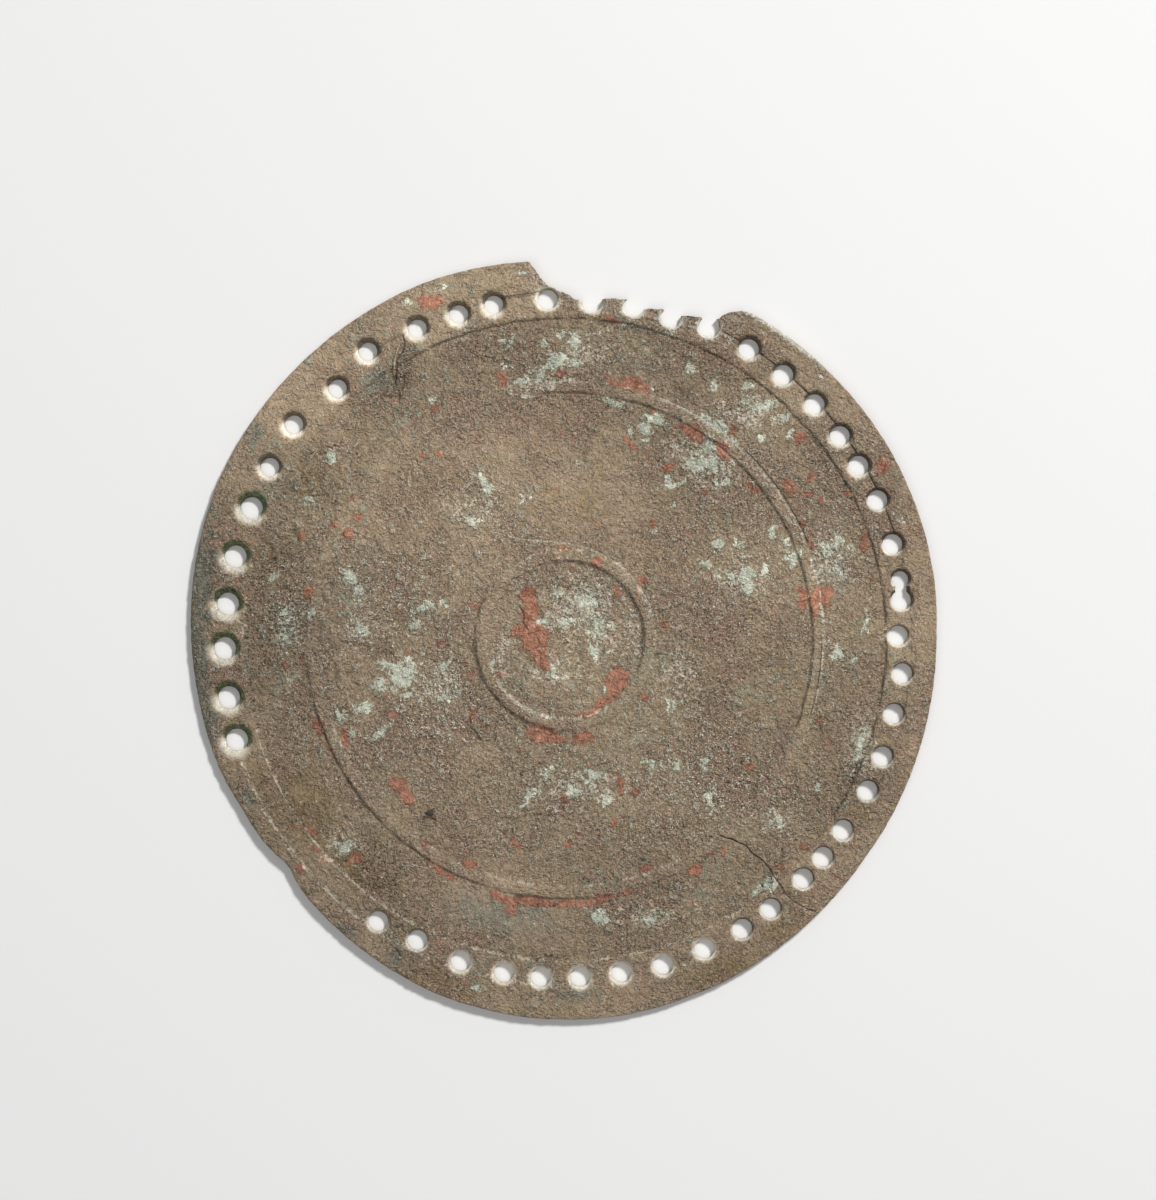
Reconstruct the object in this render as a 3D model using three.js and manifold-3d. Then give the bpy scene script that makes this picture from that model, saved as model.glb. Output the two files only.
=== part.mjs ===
import * as THREE from "three";
import { mergeVertices } from "three/addons/utils/BufferGeometryUtils.js";
import Module from "manifold-3d";

// A cast and turned bronze disc mirror with a drilled rim, lying on its plain reflecting face,
// with the turned back up. Millimetres, +Z up. Places are polar about the turning centre: a bearing
// in degrees, anticlockwise from +X, and a radius, or an inset measured inwards from the edge of the disc.

const DISC_RADIUS = 56.5;
const RIM_THICKNESS = 2.0;
const EDGE_ROUNDING = 0.3; // small bevel all round, above and below
const OUTLINE_STEP = 3; // degrees between points of the outline

// The turned back, from the rim inwards
const SCRIBE_INSET = 4.5; // scribed circle that the holes follow
const SCRIBE_DROP = 0.12; // the rim is this much lower inside the scribed circle
const RIM_WIDTH = 8.2; // from the edge to the foot of the rim's step
const FIELD_DROP = 0.45; // the turned field lies this much below the rim
const STEP_RUN = 0.15; // slope of each turned shoulder, in plan
const MOULDING_WIDTH = 1.8;
const MOULDING_RISE = 0.28;
const MIDDLE_MOULDING_INSET = 17.6; // from the edge of the disc to the moulding's outer foot
const INNER_MOULDING_RADIUS = 11.8; // to the moulding's inner foot
const TURNING_SEGMENTS = 96;

// The mark of the lathe's centre lies a little off the turning centre
const CENTRE_MARK = { x: 0.1, y: -0.5, radius: 0.35, depth: 0.25 };

// How far the worn edge stands outside the true circle, as [bearing, mm], evenly from one to the next
const EDGE_WEAR = [
  [0, -0.75],
  [8, -0.4],
  [17, -0.2],
  [30, -0.05],
  [60, -0.1],
  [90, 0.35],
  [112, 1.1],
  [135, 0.95],
  [156, 0.75],
  [172, 0.1],
  [187, -0.6],
  [200, -0.95],
  [208, -1.7],
  [214, -1.9],
  [219, -2.7],
  [224, -1.75],
  [230, -1.25],
  [240, -0.55],
  [250, 0.15],
  [265, 0.6],
  [278, 0.65],
  [300, 0],
  [312, -0.45],
  [324, -0.75],
  [347, -0.8],
];

// The holes were drilled by eye in runs, each with its own drill and countersink. Every hole is
// [bearing, how far it strays outwards from the hole circle].
const HOLE_CIRCLE_INSET = 5.4;
const COUNTERSINK_DEPTH = 0.9;
const HOLE_SEGMENTS = 16;
const HOLE_RUNS = [
  {
    drill: 3.0,
    countersink: 4.3,
    holes: [
      [6.6, -0.3],
      [16.2, 0.1],
      [24, 0.25],
      [30.6, 0.1],
      [36.5, 0.25],
      [43.3, 0.4],
      [50.5, 0.4],
      [57.7, 0.5],
      [65.3, 0.6],
      [71.8, -0.2],
      [78.3, 0],
      [85.5, -0.3],
      [93, 0],
    ],
  },
  {
    drill: 2.5,
    countersink: 3.9,
    holes: [[10.1, 0]],
  },
  // The web between the two holes drilled too close has broken through
  {
    drill: 1.8,
    countersink: 3.2,
    holes: [[8.5, -0.1]],
  },
  {
    drill: 2.8,
    countersink: 4.5,
    holes: [
      [102.1, 0.3],
      [108.2, 0.3],
      [115.5, 0.6],
      [124.5, 1.3],
      [132.3, -0.2],
      [141.7, 0.9],
      [149.8, 0.3],
    ],
  },
  {
    drill: 3.3,
    countersink: 5.4,
    holes: [
      [157.3, 0],
      [165.9, 0],
      [174, -0.1],
      [181.5, 0.1],
      [189.8, 0.2],
      [197, 0.5],
    ],
  },
  {
    drill: 3.0,
    countersink: 4.1,
    holes: [
      [236.4, -0.2],
      [243.8, -0.7],
      [252, -0.2],
      [259.6, -0.2],
      [265.8, -0.2],
      [272.5, -0.3],
      [279.5, -0.3],
      [286.7, 0],
      [294.2, -0.1],
    ],
  },
  {
    drill: 3.0,
    countersink: 3.7,
    holes: [
      [301.4, -0.1],
      [307.3, -0.2],
      [314.8, -0.4],
      [319.8, -0.4],
      [325.5, -0.5],
      [333.4, -0.3],
      [339.7, -0.3],
      [347.2, -0.5],
      [354.2, -0.2],
      [0.6, -1.1],
    ],
  },
];

// A piece of the rim is lost at the top: the break runs through four holes and leaves the webs between
// them as stumps. Each corner is [bearing, reach], from 0 at the edge of the disc to 1 on the hole circle.
const BREAK_LINE = [
  [95.2, 0],
  [94.4, 0.22],
  [92.7, 0.6],
  [91.7, 0.7],
  [89.9, 0.83],
  [88.4, 0.98],
  [85.5, 1.1],
  [83.6, 0.91],
  [79.8, 0.84],
  [78.3, 0.98],
  [76.4, 1],
  [73.6, 0.88],
  [71.8, 1.06],
  [70.1, 0.89],
  [67.1, 0.74],
  [65.6, 0.8],
  [64.6, 0.57],
  [63.7, 0.35],
  [61, 0],
];
const BREAK_CLEARANCE = 4; // how far the lost piece is cut away beyond the edge

// A crack runs in from the edge: a hairline across the rim, then open until it dies out in the field.
// Each point is [bearing, inset, width].
const CRACK = [
  [313, -1.5, 0.12],
  [312.5, 1.1, 0.12],
  [311.5, 2.9, 0.14],
  [310.9, 5.4, 0.2],
  [311.2, 8.2, 0.28],
  [311.5, 10.3, 0.3],
  [311.4, 13, 0.28],
  [311, 15.7, 0.24],
  [310, 17.2, 0.16],
  [308.1, 19.1, 0.06],
];

// A spot in the field where corrosion has eaten right through
const PINHOLE = { bearing: 232, inset: 23.3, length: 1.2, width: 0.7, corners: 7 };

const CUT_CLEARANCE = 1; // how far cutting solids run past the faces they cut

const fieldHeight = RIM_THICKNESS - FIELD_DROP;

const wasm = await Module();
wasm.setup();

function polar(bearing, radius) {
  const angle = THREE.MathUtils.degToRad(bearing);
  return new THREE.Vector2(radius * Math.cos(angle), radius * Math.sin(angle));
}

// A point of the rim, measured inwards from the true circle.
function fromEdge(bearing, inset) {
  return polar(bearing, DISC_RADIUS - inset);
}

// How far the worn edge stands outside the true circle at a bearing.
function edgeWear(bearing) {
  const last = EDGE_WEAR.length - 1;
  const at = bearing % 360;
  const next = EDGE_WEAR.findIndex(([b]) => b > at);
  const [fromBearing, fromWear] = EDGE_WEAR[next < 0 ? last : next - 1];
  const [toBearing, toWear] = next < 0 ? [360, EDGE_WEAR[0][1]] : EDGE_WEAR[next];
  return THREE.MathUtils.mapLinear(at, fromBearing, toBearing, fromWear, toWear);
}

function solid(geometry) {
  const bare = new THREE.BufferGeometry();
  bare.setAttribute("position", geometry.getAttribute("position"));
  bare.setIndex(geometry.getIndex());
  const merged = mergeVertices(bare, 1e-4);
  return new wasm.Manifold(
    new wasm.Mesh({
      numProp: 3,
      vertProperties: merged.getAttribute("position").array,
      triVerts: new Uint32Array(merged.getIndex().array),
    }),
  );
}

// A turned solid about the Z axis, from [radius, height] points that start and end on the axis.
function turned(profile, segments) {
  const points = profile.map(([radius, height]) => new THREE.Vector2(radius, height));
  return solid(new THREE.LatheGeometry(points, segments).rotateX(Math.PI / 2));
}

// An upright prism through the whole plate, of a plan outline.
function throughCut(outline) {
  const depth = RIM_THICKNESS + 2 * CUT_CLEARANCE;
  const geometry = new THREE.ExtrudeGeometry(new THREE.Shape(outline), { depth, bevelEnabled: false });
  return solid(geometry.translate(0, 0, -CUT_CLEARANCE));
}

// The cast blank: the worn outline with its small rounding above and below.
function blank() {
  const outline = [];
  for (let bearing = 0; bearing < 360; bearing += OUTLINE_STEP) {
    outline.push(polar(bearing, DISC_RADIUS + edgeWear(bearing)));
  }
  const geometry = new THREE.ExtrudeGeometry(new THREE.Shape(outline), {
    depth: RIM_THICKNESS - 2 * EDGE_ROUNDING,
    bevelThickness: EDGE_ROUNDING,
    bevelSize: EDGE_ROUNDING,
    bevelOffset: -EDGE_ROUNDING,
    bevelSegments: 1,
    curveSegments: 1,
  });
  return solid(geometry.translate(0, 0, EDGE_ROUNDING));
}

// A raised moulding's section above the turned field, from its inner foot to its outer foot.
function mouldingSection(innerFoot) {
  const outerFoot = innerFoot + MOULDING_WIDTH;
  const crest = fieldHeight + MOULDING_RISE;
  return [
    [innerFoot, fieldHeight],
    [innerFoot + STEP_RUN, crest],
    [outerFoot - STEP_RUN, crest],
    [outerFoot, fieldHeight],
  ];
}

// All the bronze turned away from the back: the sunk field with its two mouldings left standing,
// the step up to the rim, and the slight drop inside the scribed circle.
function turningWaste() {
  const top = RIM_THICKNESS + CUT_CLEARANCE;
  const rimInner = RIM_THICKNESS - SCRIBE_DROP;
  const stepRadius = DISC_RADIUS - RIM_WIDTH;
  const scribeRadius = DISC_RADIUS - SCRIBE_INSET;
  const profile = [
    [0, fieldHeight],
    ...mouldingSection(INNER_MOULDING_RADIUS),
    ...mouldingSection(DISC_RADIUS - MIDDLE_MOULDING_INSET - MOULDING_WIDTH),
    [stepRadius, fieldHeight],
    [stepRadius + STEP_RUN, rimInner],
    [scribeRadius, rimInner],
    [scribeRadius + STEP_RUN, RIM_THICKNESS],
    [scribeRadius + STEP_RUN, top],
    [0, top],
  ];
  return turned(profile, TURNING_SEGMENTS);
}

// The bronze that one drill takes out: a straight hole under a conical countersink.
function drilling(bearing, stray, drill, countersink) {
  const slope = (countersink - drill) / 2 / COUNTERSINK_DEPTH;
  const mouth = countersink / 2 + slope * CUT_CLEARANCE;
  const radius = DISC_RADIUS - HOLE_CIRCLE_INSET + stray;
  const profile = [
    [0, -CUT_CLEARANCE],
    [drill / 2, -CUT_CLEARANCE],
    [drill / 2, RIM_THICKNESS - COUNTERSINK_DEPTH],
    [mouth, RIM_THICKNESS + CUT_CLEARANCE],
    [0, RIM_THICKNESS + CUT_CLEARANCE],
  ];
  const { x, y } = polar(bearing, radius);
  return turned(profile, HOLE_SEGMENTS).translate([x, y, 0]);
}

function allDrillings() {
  const drillings = HOLE_RUNS.flatMap(({ drill, countersink, holes }) =>
    holes.map(([bearing, stray]) => drilling(bearing, stray, drill, countersink)),
  );
  return drillings.reduce((joined, next) => joined.add(next));
}

// The lost piece of the rim, cut away outwards from the break line.
function lostPiece() {
  const line = BREAK_LINE.map(([bearing, reach]) => fromEdge(bearing, reach * HOLE_CIRCLE_INSET));
  const [firstBearing] = BREAK_LINE[0];
  const [lastBearing] = BREAK_LINE[BREAK_LINE.length - 1];
  return throughCut([
    ...line,
    fromEdge(lastBearing, -BREAK_CLEARANCE),
    fromEdge((firstBearing + lastBearing) / 2, -2 * BREAK_CLEARANCE),
    fromEdge(firstBearing, -BREAK_CLEARANCE),
  ]);
}

// The crack's gap: the centre line spread to its width on both sides.
function crackGap() {
  const line = CRACK.map(([bearing, inset]) => fromEdge(bearing, inset));
  const sides = [-1, 1].map((side) =>
    line.map((point, i) => {
      const before = line[Math.max(i - 1, 0)];
      const after = line[Math.min(i + 1, line.length - 1)];
      const along = after.clone().sub(before).normalize();
      const across = new THREE.Vector2(-along.y, along.x);
      return point.clone().addScaledVector(across, (side * CRACK[i][2]) / 2);
    }),
  );
  return throughCut([...sides[0], ...sides[1].reverse()]);
}

function pinhole() {
  const { bearing, inset, length, width, corners } = PINHOLE;
  const centre = fromEdge(bearing, inset);
  const outline = [];
  for (let i = 0; i < corners; i++) {
    const angle = (2 * Math.PI * i) / corners;
    const corner = new THREE.Vector2((length / 2) * Math.cos(angle), (width / 2) * Math.sin(angle));
    outline.push(corner.add(centre));
  }
  return throughCut(outline);
}

// The small conical dimple that the lathe's centre left.
function centreDimple() {
  const { x, y, radius, depth } = CENTRE_MARK;
  const profile = [
    [0, fieldHeight - depth],
    [(radius * (depth + CUT_CLEARANCE)) / depth, fieldHeight + CUT_CLEARANCE],
    [0, fieldHeight + CUT_CLEARANCE],
  ];
  return turned(profile, HOLE_SEGMENTS).translate([x, y, 0]);
}

function mirrorGeometry() {
  const cuts = [turningWaste(), centreDimple(), allDrillings(), lostPiece(), crackGap(), pinhole()];
  const disc = cuts.reduce((left, cut) => left.subtract(cut), blank());
  const { vertProperties, triVerts } = disc.getMesh();
  const geometry = new THREE.BufferGeometry();
  geometry.setAttribute("position", new THREE.BufferAttribute(vertProperties, 3));
  geometry.setIndex(new THREE.BufferAttribute(triVerts, 1));
  // The frame's origin is under the middle of the disc's footprint
  geometry.computeBoundingBox();
  const { min, max } = geometry.boundingBox;
  geometry.translate(-(min.x + max.x) / 2, -(min.y + max.y) / 2, -min.z);
  geometry.computeVertexNormals();
  return geometry;
}

const bronze = new THREE.MeshStandardMaterial({
  color: 0x857661,
  roughness: 0.8,
  metalness: 0.25,
  flatShading: true,
});

const mirrorDisc = new THREE.Mesh(mirrorGeometry(), bronze);
mirrorDisc.name = "mirror_disc";

const mirror = new THREE.Group();
mirror.name = "bronze_mirror";
mirror.add(mirrorDisc);

export default mirror;
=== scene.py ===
import math

import bmesh
import bpy
import numpy as np
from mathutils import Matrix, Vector, kdtree, noise
from mathutils.geometry import delaunay_2d_cdt


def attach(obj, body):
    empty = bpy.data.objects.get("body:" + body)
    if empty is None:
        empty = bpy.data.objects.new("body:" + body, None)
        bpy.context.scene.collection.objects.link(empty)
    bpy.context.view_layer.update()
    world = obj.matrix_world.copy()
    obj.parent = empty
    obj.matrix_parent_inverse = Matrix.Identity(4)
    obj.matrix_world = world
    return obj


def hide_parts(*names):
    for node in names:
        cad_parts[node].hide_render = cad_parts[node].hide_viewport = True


# A patinated bronze disc mirror, lying with its turned back up. Lengths are millimetres, apart from the
# studio's, and places are measured from the turning centre, with +Y towards the broken rim.

mm = 0.001
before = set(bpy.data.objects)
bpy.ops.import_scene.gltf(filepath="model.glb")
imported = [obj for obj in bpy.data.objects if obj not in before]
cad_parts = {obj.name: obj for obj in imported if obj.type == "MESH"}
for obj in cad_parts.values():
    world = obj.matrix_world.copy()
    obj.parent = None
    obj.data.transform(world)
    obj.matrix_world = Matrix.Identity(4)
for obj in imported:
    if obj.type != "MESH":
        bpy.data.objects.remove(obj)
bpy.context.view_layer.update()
print("frame loaded")


# Form of the disc

mirrorForm = {
    "node": "mirror_disc",
    "crestHeight": 1.83,  # of the mouldings on the solid, which show where the turning centre is
    "sliceHeight": 1.0,  # the outline and the holes are read from the solid here
    "radius": 56.5,
    "top": 2.0,
    "lowest": 0.5,  # nothing on the back is deeper than this height
    "field": 1.56,  # height of the sunk field
    # the turned shoulders: radius, rise, half width where crisp, groove at the foot, crispness by bearing
    "shoulders": [
        (11.9, 0.32, 0.3, 0.06, [
            (0, 0.9), (25, 1), (60, 0.9), (95, 0.75), (125, 0.5), (160, 0.35), (195, 0.5), (215, 0.9),
            (290, 0.8), (320, 0.3),
        ]),
        (13.5, -0.32, 0.34, 0.08, [
            (0, 0.5), (60, 0.7), (100, 0.6), (140, 0.5), (172, 0.7), (195, 1), (235, 1), (260, 0.6),
            (330, 0.2),
        ]),
        (37.2, 0.24, 0.2, 0.1, [
            (0, 1), (60, 1), (85, 0.7), (115, 0.3), (160, 0.15), (210, 0.35), (290, 0.4), (310, 0.12),
            (334, 0.15), (342, 0.9),
        ]),
        (38.8, -0.24, 0.24, 0.12, [
            (0, 0.8), (60, 0.8), (110, 0.35), (150, 0.15), (178, 0.3), (192, 0.6), (208, 1), (245, 0.9),
            (285, 0.5), (330, 0.4),
        ]),
        (48.3, 0.27, 0.16, 0.14, [
            (0, 1), (90, 1), (115, 0.8), (135, 0.4), (180, 0.35), (215, 0.7), (300, 0.6), (340, 0.9),
        ]),
        (52.0, 0.08, 0.1, 0.16, [
            (0, 0.9), (20, 1), (66, 1), (110, 0.8), (150, 0.3), (190, 0.15), (215, 0.9), (240, 0.7),
            (290, 0.4), (330, 0.7),
        ]),
    ],
    "wornWidth": 0.6,  # half the width of a shoulder that is worn away
    "highlightBearing": 230,  # shoulders that rise towards here face the key light and get a painted highlight, the others painted shade
    "ridges": [(11.6, 13.8), (36.9, 39.1)],  # the mouldings, smoother than the field
    "ridgeFade": 0.3,
    "rimStart": (48.1, 48.5),  # radii between which the field's patina turns into the rim's
    "grooveWidth": 0.13,
    "highlightWidth": 0.26,  # half the width of the painted highlight along a shoulder
    "centreMark": (0.1, -0.5, 0.38, 0.25),  # x, y, radius and depth
    "shoulderWander": 0.12,  # how far the worn shoulders wander from true circles
    "crispVariety": 0.6,  # how unevenly they are worn along their length
    "spacing": 0.4,  # of the fine mesh's points on top
    "undersideSpacing": 1.4,
    "cutSpacing": 0.22,  # of those that follow scratches and cracks
    "loopSpacing": 0.3,
    "gridReach": 58.1,  # radius that the grids of points fill
    "gridSeeds": (5, 9),  # top and underside
    "cornerAngle": 32,  # a sharper turn than this in the outline stays a corner
    "topRows": [0.14, 0.32, 0.55, 0.85],  # rows of points that follow each edge, at these distances
    "undersideRows": [0.3, 0.8],
    "wallRows": [0.3, 0.7],
    "edgeRounding": 0.35,
    "wornRounding": 0.8,  # of the rounder edge on the left
    "breakRounding": 0.12,
    "undersideRounding": 0.25,
    "undersideRoughness": 0.02,
    "undersideMarks": {"smooth": 0.4, "speckled": 0.4},
    "edgeBite": 0.06,  # how far corrosion eats into the outline
    "holeShare": 0.4,  # of that, at the holes
    "breakBite": 0.22,
    "wallBite": 0.08,  # and into the wall under it
    "broken": (60.5, 95.6),  # bearings of the lost stretch of the rim
    "brokenPale": (48.9, 50.2),  # radii between which it turns pale there
    # bearings where a stretch begins, is full, is still full and ends
    "wornEdge": (114, 142, 194, 222),
    "leftEdge": (156, 168, 192, 202),  # where the rim is dark green
    "leftEdgeStart": (51.6, 54.6),
    "leftHoles": (148, 156, 200, 212),  # where the countersinks' painted shade is green, from corrosion
    "edgeHighlight": (42, 52, 60, 64),  # where the edge, facing the key light, gets a painted highlight
    "edgeHighlightWidth": (0.9, 0.4),  # how far in that begins and is full
    "crackBearing": 312.5,
    "crackSpan": 12,  # degrees to both sides that hold all of it
    "crackReach": (32, 38, 48, 53),  # radii between which its course is uneven
    "crackWidth": (0.14, 0.04),  # at its root and at the edge of the disc
    "crackTaper": (40, 14),  # radius from where it narrows, and over which length
    "crackJags": (1.3, 0.3),  # size and depth of the crack's uneven course
    "nearReach": 0.9,  # how far apart two stretches of an outline still affect each other
    "edgeGap": 0.01,  # what keeps the outline inside the solid's
    "seed": 7.3,
}

# The countersinks: how wide the cone is beyond the drilled hole, by bearing
countersinks = {
    "base": 1.15,  # height where the cone meets the drilled wall
    "blend": 0.08,  # rounding of the worn lip
    "roughness": 0.05,
    "leastDrilled": 1.1,  # an opening with a radius above this that is round enough was drilled
    "unevenness": 0.06,
    "wallReach": 0.18,  # outline points this close to a drilled wall belong to it
    "holeShadeSide": 68,  # bearing of the side away from the key light, which gets painted shade, green from corrosion on the left holes
    # up to each bearing: width of the cone, reach of the pale corrosion and painted highlight, and how dark
    # the painted shade on the side away from the key light is
    "runs": [(30, 0.6, 0.5, 1), (60, 0.65, 0.8, 1), (97, 0.55, 0.7, 0.5), (153, 0.85, 1.2, 1),
             (212, 1.15, 1.7, 1), (245, 0.8, 0.5, 0.45), (297, 0.6, 0.7, 0.2), (360, 0.4, 0.5, 0.6)],
    "smallBearing": 3,  # the run of narrow ones carries on to here
    # holes that the break or a neighbour has opened, as [bearing, radius out, drilled radius]
    "opened": [
        (65.3, 51.7, 1.5), (71.8, 50.9, 1.5), (78.3, 51.1, 1.5), (85.5, 50.8, 1.5), (93.0, 51.1, 1.5),
        (6.6, 50.8, 1.5), (10.1, 51.1, 1.25), (8.5, 51.0, 0.9),
    ],
}

# Lines that are cut or cracked into the surface: points from the turning centre, half width and depth
surfaceLines = {
    "crookedness": 0.45,  # how far the steps of a fissure stray
    "crookedStep": 0.7,  # their length
    "scribedStep": 2,  # degrees
    "fissures": [
        ([(-24.3, 45.6), (-24.2, 44.2), (-25.0, 41.9), (-25.3, 38.9), (-24.9, 36.2)], 0.26, 0.14),
        ([(-25.3, 42.9), (-25.9, 40.6), (-25.2, 38.1)], 0.22, 0.1),
        ([(-23.9, 39.4), (-24.6, 37.4)], 0.24, 0.12),
        ([(-25.3, -43.2), (-24.6, -42.9), (-23.9, -44.0)], 0.25, 0.16),
        ([(-25.2, -46.3), (-24.6, -47.6)], 0.25, 0.16),
        ([(-14.4, -12.0), (-13.9, -13.4), (-13.2, -14.1), (-13.0, -15.1)], 0.24, 0.14),
        ([(-6.7, 4.9), (-6.3, 3.3), (-5.8, 1.7)], 0.22, 0.14),
        ([(-21.2, -26.9), (-20.4, -26.5), (-19.6, -25.8)], 0.4, 0.25),
        ([(-20.4, -25.8), (-20.3, -26.6), (-19.6, -27.0)], 0.4, 0.25),
        ([(-0.1, -0.5), (0.3, -0.5)], 0.34, 0.1),  # inside the centre mark
    ],
    "scratches": [
        ([(-9.8, 15.8), (-6.4, 15.0), (-1.7, 14.6), (2.3, 14.0), (6.1, 12.4), (9.3, 10.2), (12.1, 6.2),
          (13.6, 2.9)], 0.2, -0.05),
        ([(11.8, -2.0), (12.6, -3.6), (13.3, -5.0)], 0.12, 0.05),
        ([(-17.9, -13.3), (-15.4, -14.9), (-13.4, -16.6), (-12.0, -17.8)], 0.12, 0.05),
        ([(-52.9, 10.9), (-51.6, 9.6), (-50.4, 8.9)], 0.14, 0.06),
        ([(-49.9, 3.6), (-48.9, 2.6), (-47.9, 2.1)], 0.14, 0.06),
        ([(-24.0, -33.4), (-22.2, -34.0), (-20.6, -34.4)], 0.12, 0.05),
        ([(-24.7, 44.6), (-25.4, 42.8), (-25.7, 40.6)], 0.16, -0.04),
        ([(-24.4, 41.2), (-24.7, 39.3)], 0.2, -0.06),
        ([(33.2, -38.6), (35.5, -40.3), (37.6, -41.2)], 0.24, 0),
        # round the centre mark
        ([(-0.5, -0.5), (-0.1, 0.1), (0.5, -0.1), (0.7, -0.7), (0.1, -1.1)], 0.18, -0.03),
    ],
    # turned lines: radius, from one bearing to another, half width and depth
    # the dark turned lines lie on the side away from the key light, and their darkness is painted shade
    "scribed": [
        (51.9, 16, 66, 0.24, 0.22), (52.2, 95, 102, 0.24, 0.2), (39.2, 22, 47, 0.22, 0.1),
        (38.5, 343, 360, 0.2, 0.06),
    ],
    # pale turned lines on the shoulders' sides that face the key light: painted highlights
    "scribedHighlights": [
        (38.9, 49, 70, 0.2, -0.03), (51.7, 202, 237, 0.16, 0.04), (48.4, 196, 216, 0.15, 0.02),
        (48.5, 222, 243, 0.15, 0.02), (12.1, 212, 262, 0.26, -0.04),
    ],
}


def polar(bearing, radius):
    angle = math.radians(bearing)
    return radius * math.cos(angle), radius * math.sin(angle)


def scribed(lines):
    # turned lines as lists of points
    step = surfaceLines["scribedStep"]
    return [([polar(b, radius) for b in np.arange(start, end, step)], halfWidth, depth)
            for radius, start, end, halfWidth, depth in lines]


def crooked(lines):
    # lines with small uneven steps, as cracks run
    bent = []
    for path, halfWidth, depth in lines:
        path = finePath(path, surfaceLines["crookedStep"])
        shift = np.stack([noiseAt(path, 1.0, 2, 33), noiseAt(path, 1.0, 2, 37)], 1)
        bent.append((path + surfaceLines["crookedness"] * shift, halfWidth, depth))
    return bent


def noiseAt(points, size, octaves=3, shift=0.0):
    # fractal noise, roughly -1 to 1, with features of that size
    shift += mirrorForm["seed"]
    places = points / size
    return np.array([noise.fractal((x, y, shift), 1.0, 2.0, octaves) for x, y in places])


def solidPoints(node):
    points = np.empty(len(node.data.vertices) * 3, np.float32)
    node.data.vertices.foreach_get("co", points)
    return points.reshape(-1, 3).astype(float) / mm


def turningCentre(node):
    points = solidPoints(node)
    crest = points[np.abs(points[:, 2] - mirrorForm["crestHeight"]) < 0.005, :2]
    return (crest.min(0) + crest.max(0)) / 2


def sliceLoops(node, centre):
    # closed outlines of the solid at the slice height, as lists of points from the turning centre
    shell = bmesh.new()
    shell.from_mesh(node.data)
    bmesh.ops.remove_doubles(shell, verts=shell.verts, dist=1e-7)
    everything = shell.verts[:] + shell.edges[:] + shell.faces[:]
    plane = (0, 0, mirrorForm["sliceHeight"] * mm)
    cut = bmesh.ops.bisect_plane(shell, geom=everything, plane_co=plane, plane_no=(0, 0, 1), dist=1e-8)
    edges = [e for e in cut["geom_cut"] if isinstance(e, bmesh.types.BMEdge)]
    joined = {}
    for edge in edges:
        for vert in edge.verts:
            joined.setdefault(vert, []).append(edge)
    left = dict.fromkeys(edges)
    loops = []
    while left:
        edge = next(iter(left))
        del left[edge]
        start, vert = edge.verts
        loop = [start.co[:2]]
        while vert is not start:
            loop.append(vert.co[:2])
            edge = next(e for e in joined[vert] if e in left)
            del left[edge]
            vert = edge.other_vert(vert)
        loops.append(np.array(loop) / mm - centre)
    shell.free()
    return [cleanLoop(loop) for loop in loops]


def cleanLoop(loop):
    # drops points in the middle of straight stretches, which the solid's triangles leave
    changed = True
    while changed:
        before, after = np.roll(loop, 1, 0), np.roll(loop, -1, 0)
        a, b = loop - before, after - loop
        cross = np.abs(a[:, 0] * b[:, 1] - a[:, 1] * b[:, 0])
        size = np.linalg.norm(a, axis=1) * np.linalg.norm(b, axis=1) + 1e-12
        flat = cross / size < 0.003
        flat &= ~np.roll(flat, 1)  # never two neighbours in one pass
        changed = bool(flat.any())
        loop = loop[~flat]
    return loop


def signedArea(loop):
    x, y = loop.T
    return 0.5 * float(np.sum(x * np.roll(y, -1) - np.roll(x, -1) * y))


def smoothLoop(loop, spacing):
    # an even outline through the loop's points: curved between the corners, and sharp at them
    before, after = np.roll(loop, 1, 0), np.roll(loop, -1, 0)
    turn = np.arctan2(*(after - loop).T[::-1]) - np.arctan2(*(loop - before).T[::-1])
    turn = np.abs((turn + np.pi) % (2 * np.pi) - np.pi)
    corner = turn > math.radians(mirrorForm["cornerAngle"])
    count = len(loop)
    fine = []
    for i in range(count):
        p1, p2 = loop[i], loop[(i + 1) % count]
        p0 = p1 if corner[i] else loop[i - 1]
        p3 = p2 if corner[(i + 1) % count] else loop[(i + 2) % count]
        length = float(np.linalg.norm(p2 - p1))
        steps = max(1, round(length / spacing))
        for t in np.arange(steps) / steps:
            fine.append(splinePoint(p0, p1, p2, p3, t))
    fine = np.array(fine)
    step = np.linalg.norm(fine - np.roll(fine, 1, 0), axis=1)
    crowded = step < spacing * 0.4
    crowded &= ~np.roll(crowded, 1)
    return fine[~crowded]


def splinePoint(p0, p1, p2, p3, t):
    # a cubic from p1 to p2 that bends with their neighbours, and less where those are unevenly spaced
    span = float(np.linalg.norm(p2 - p1))
    back = max(float(np.linalg.norm(p1 - p0)), 1e-9)
    ahead = max(float(np.linalg.norm(p3 - p2)), 1e-9)
    m1 = (p2 - p1) if back < 1e-8 else (p2 - p1) * 0.5 + (p1 - p0) * 0.5 * min(span / back, 2)
    m2 = (p2 - p1) if ahead < 1e-8 else (p2 - p1) * 0.5 + (p3 - p2) * 0.5 * min(span / ahead, 2)
    a, b = 2 * t**3 - 3 * t**2 + 1, t**3 - 2 * t**2 + t
    return a * p1 + b * m1 + (1 - a) * p2 + (t**3 - t**2) * m2


def inwardNormals(loop):
    # unit vectors that point into the bronze, for a loop that keeps it on its left
    along = np.roll(loop, -1, 0) - np.roll(loop, 1, 0)
    along /= np.linalg.norm(along, axis=1)[:, None] + 1e-12
    return np.stack([-along[:, 1], along[:, 0]], 1)


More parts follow.
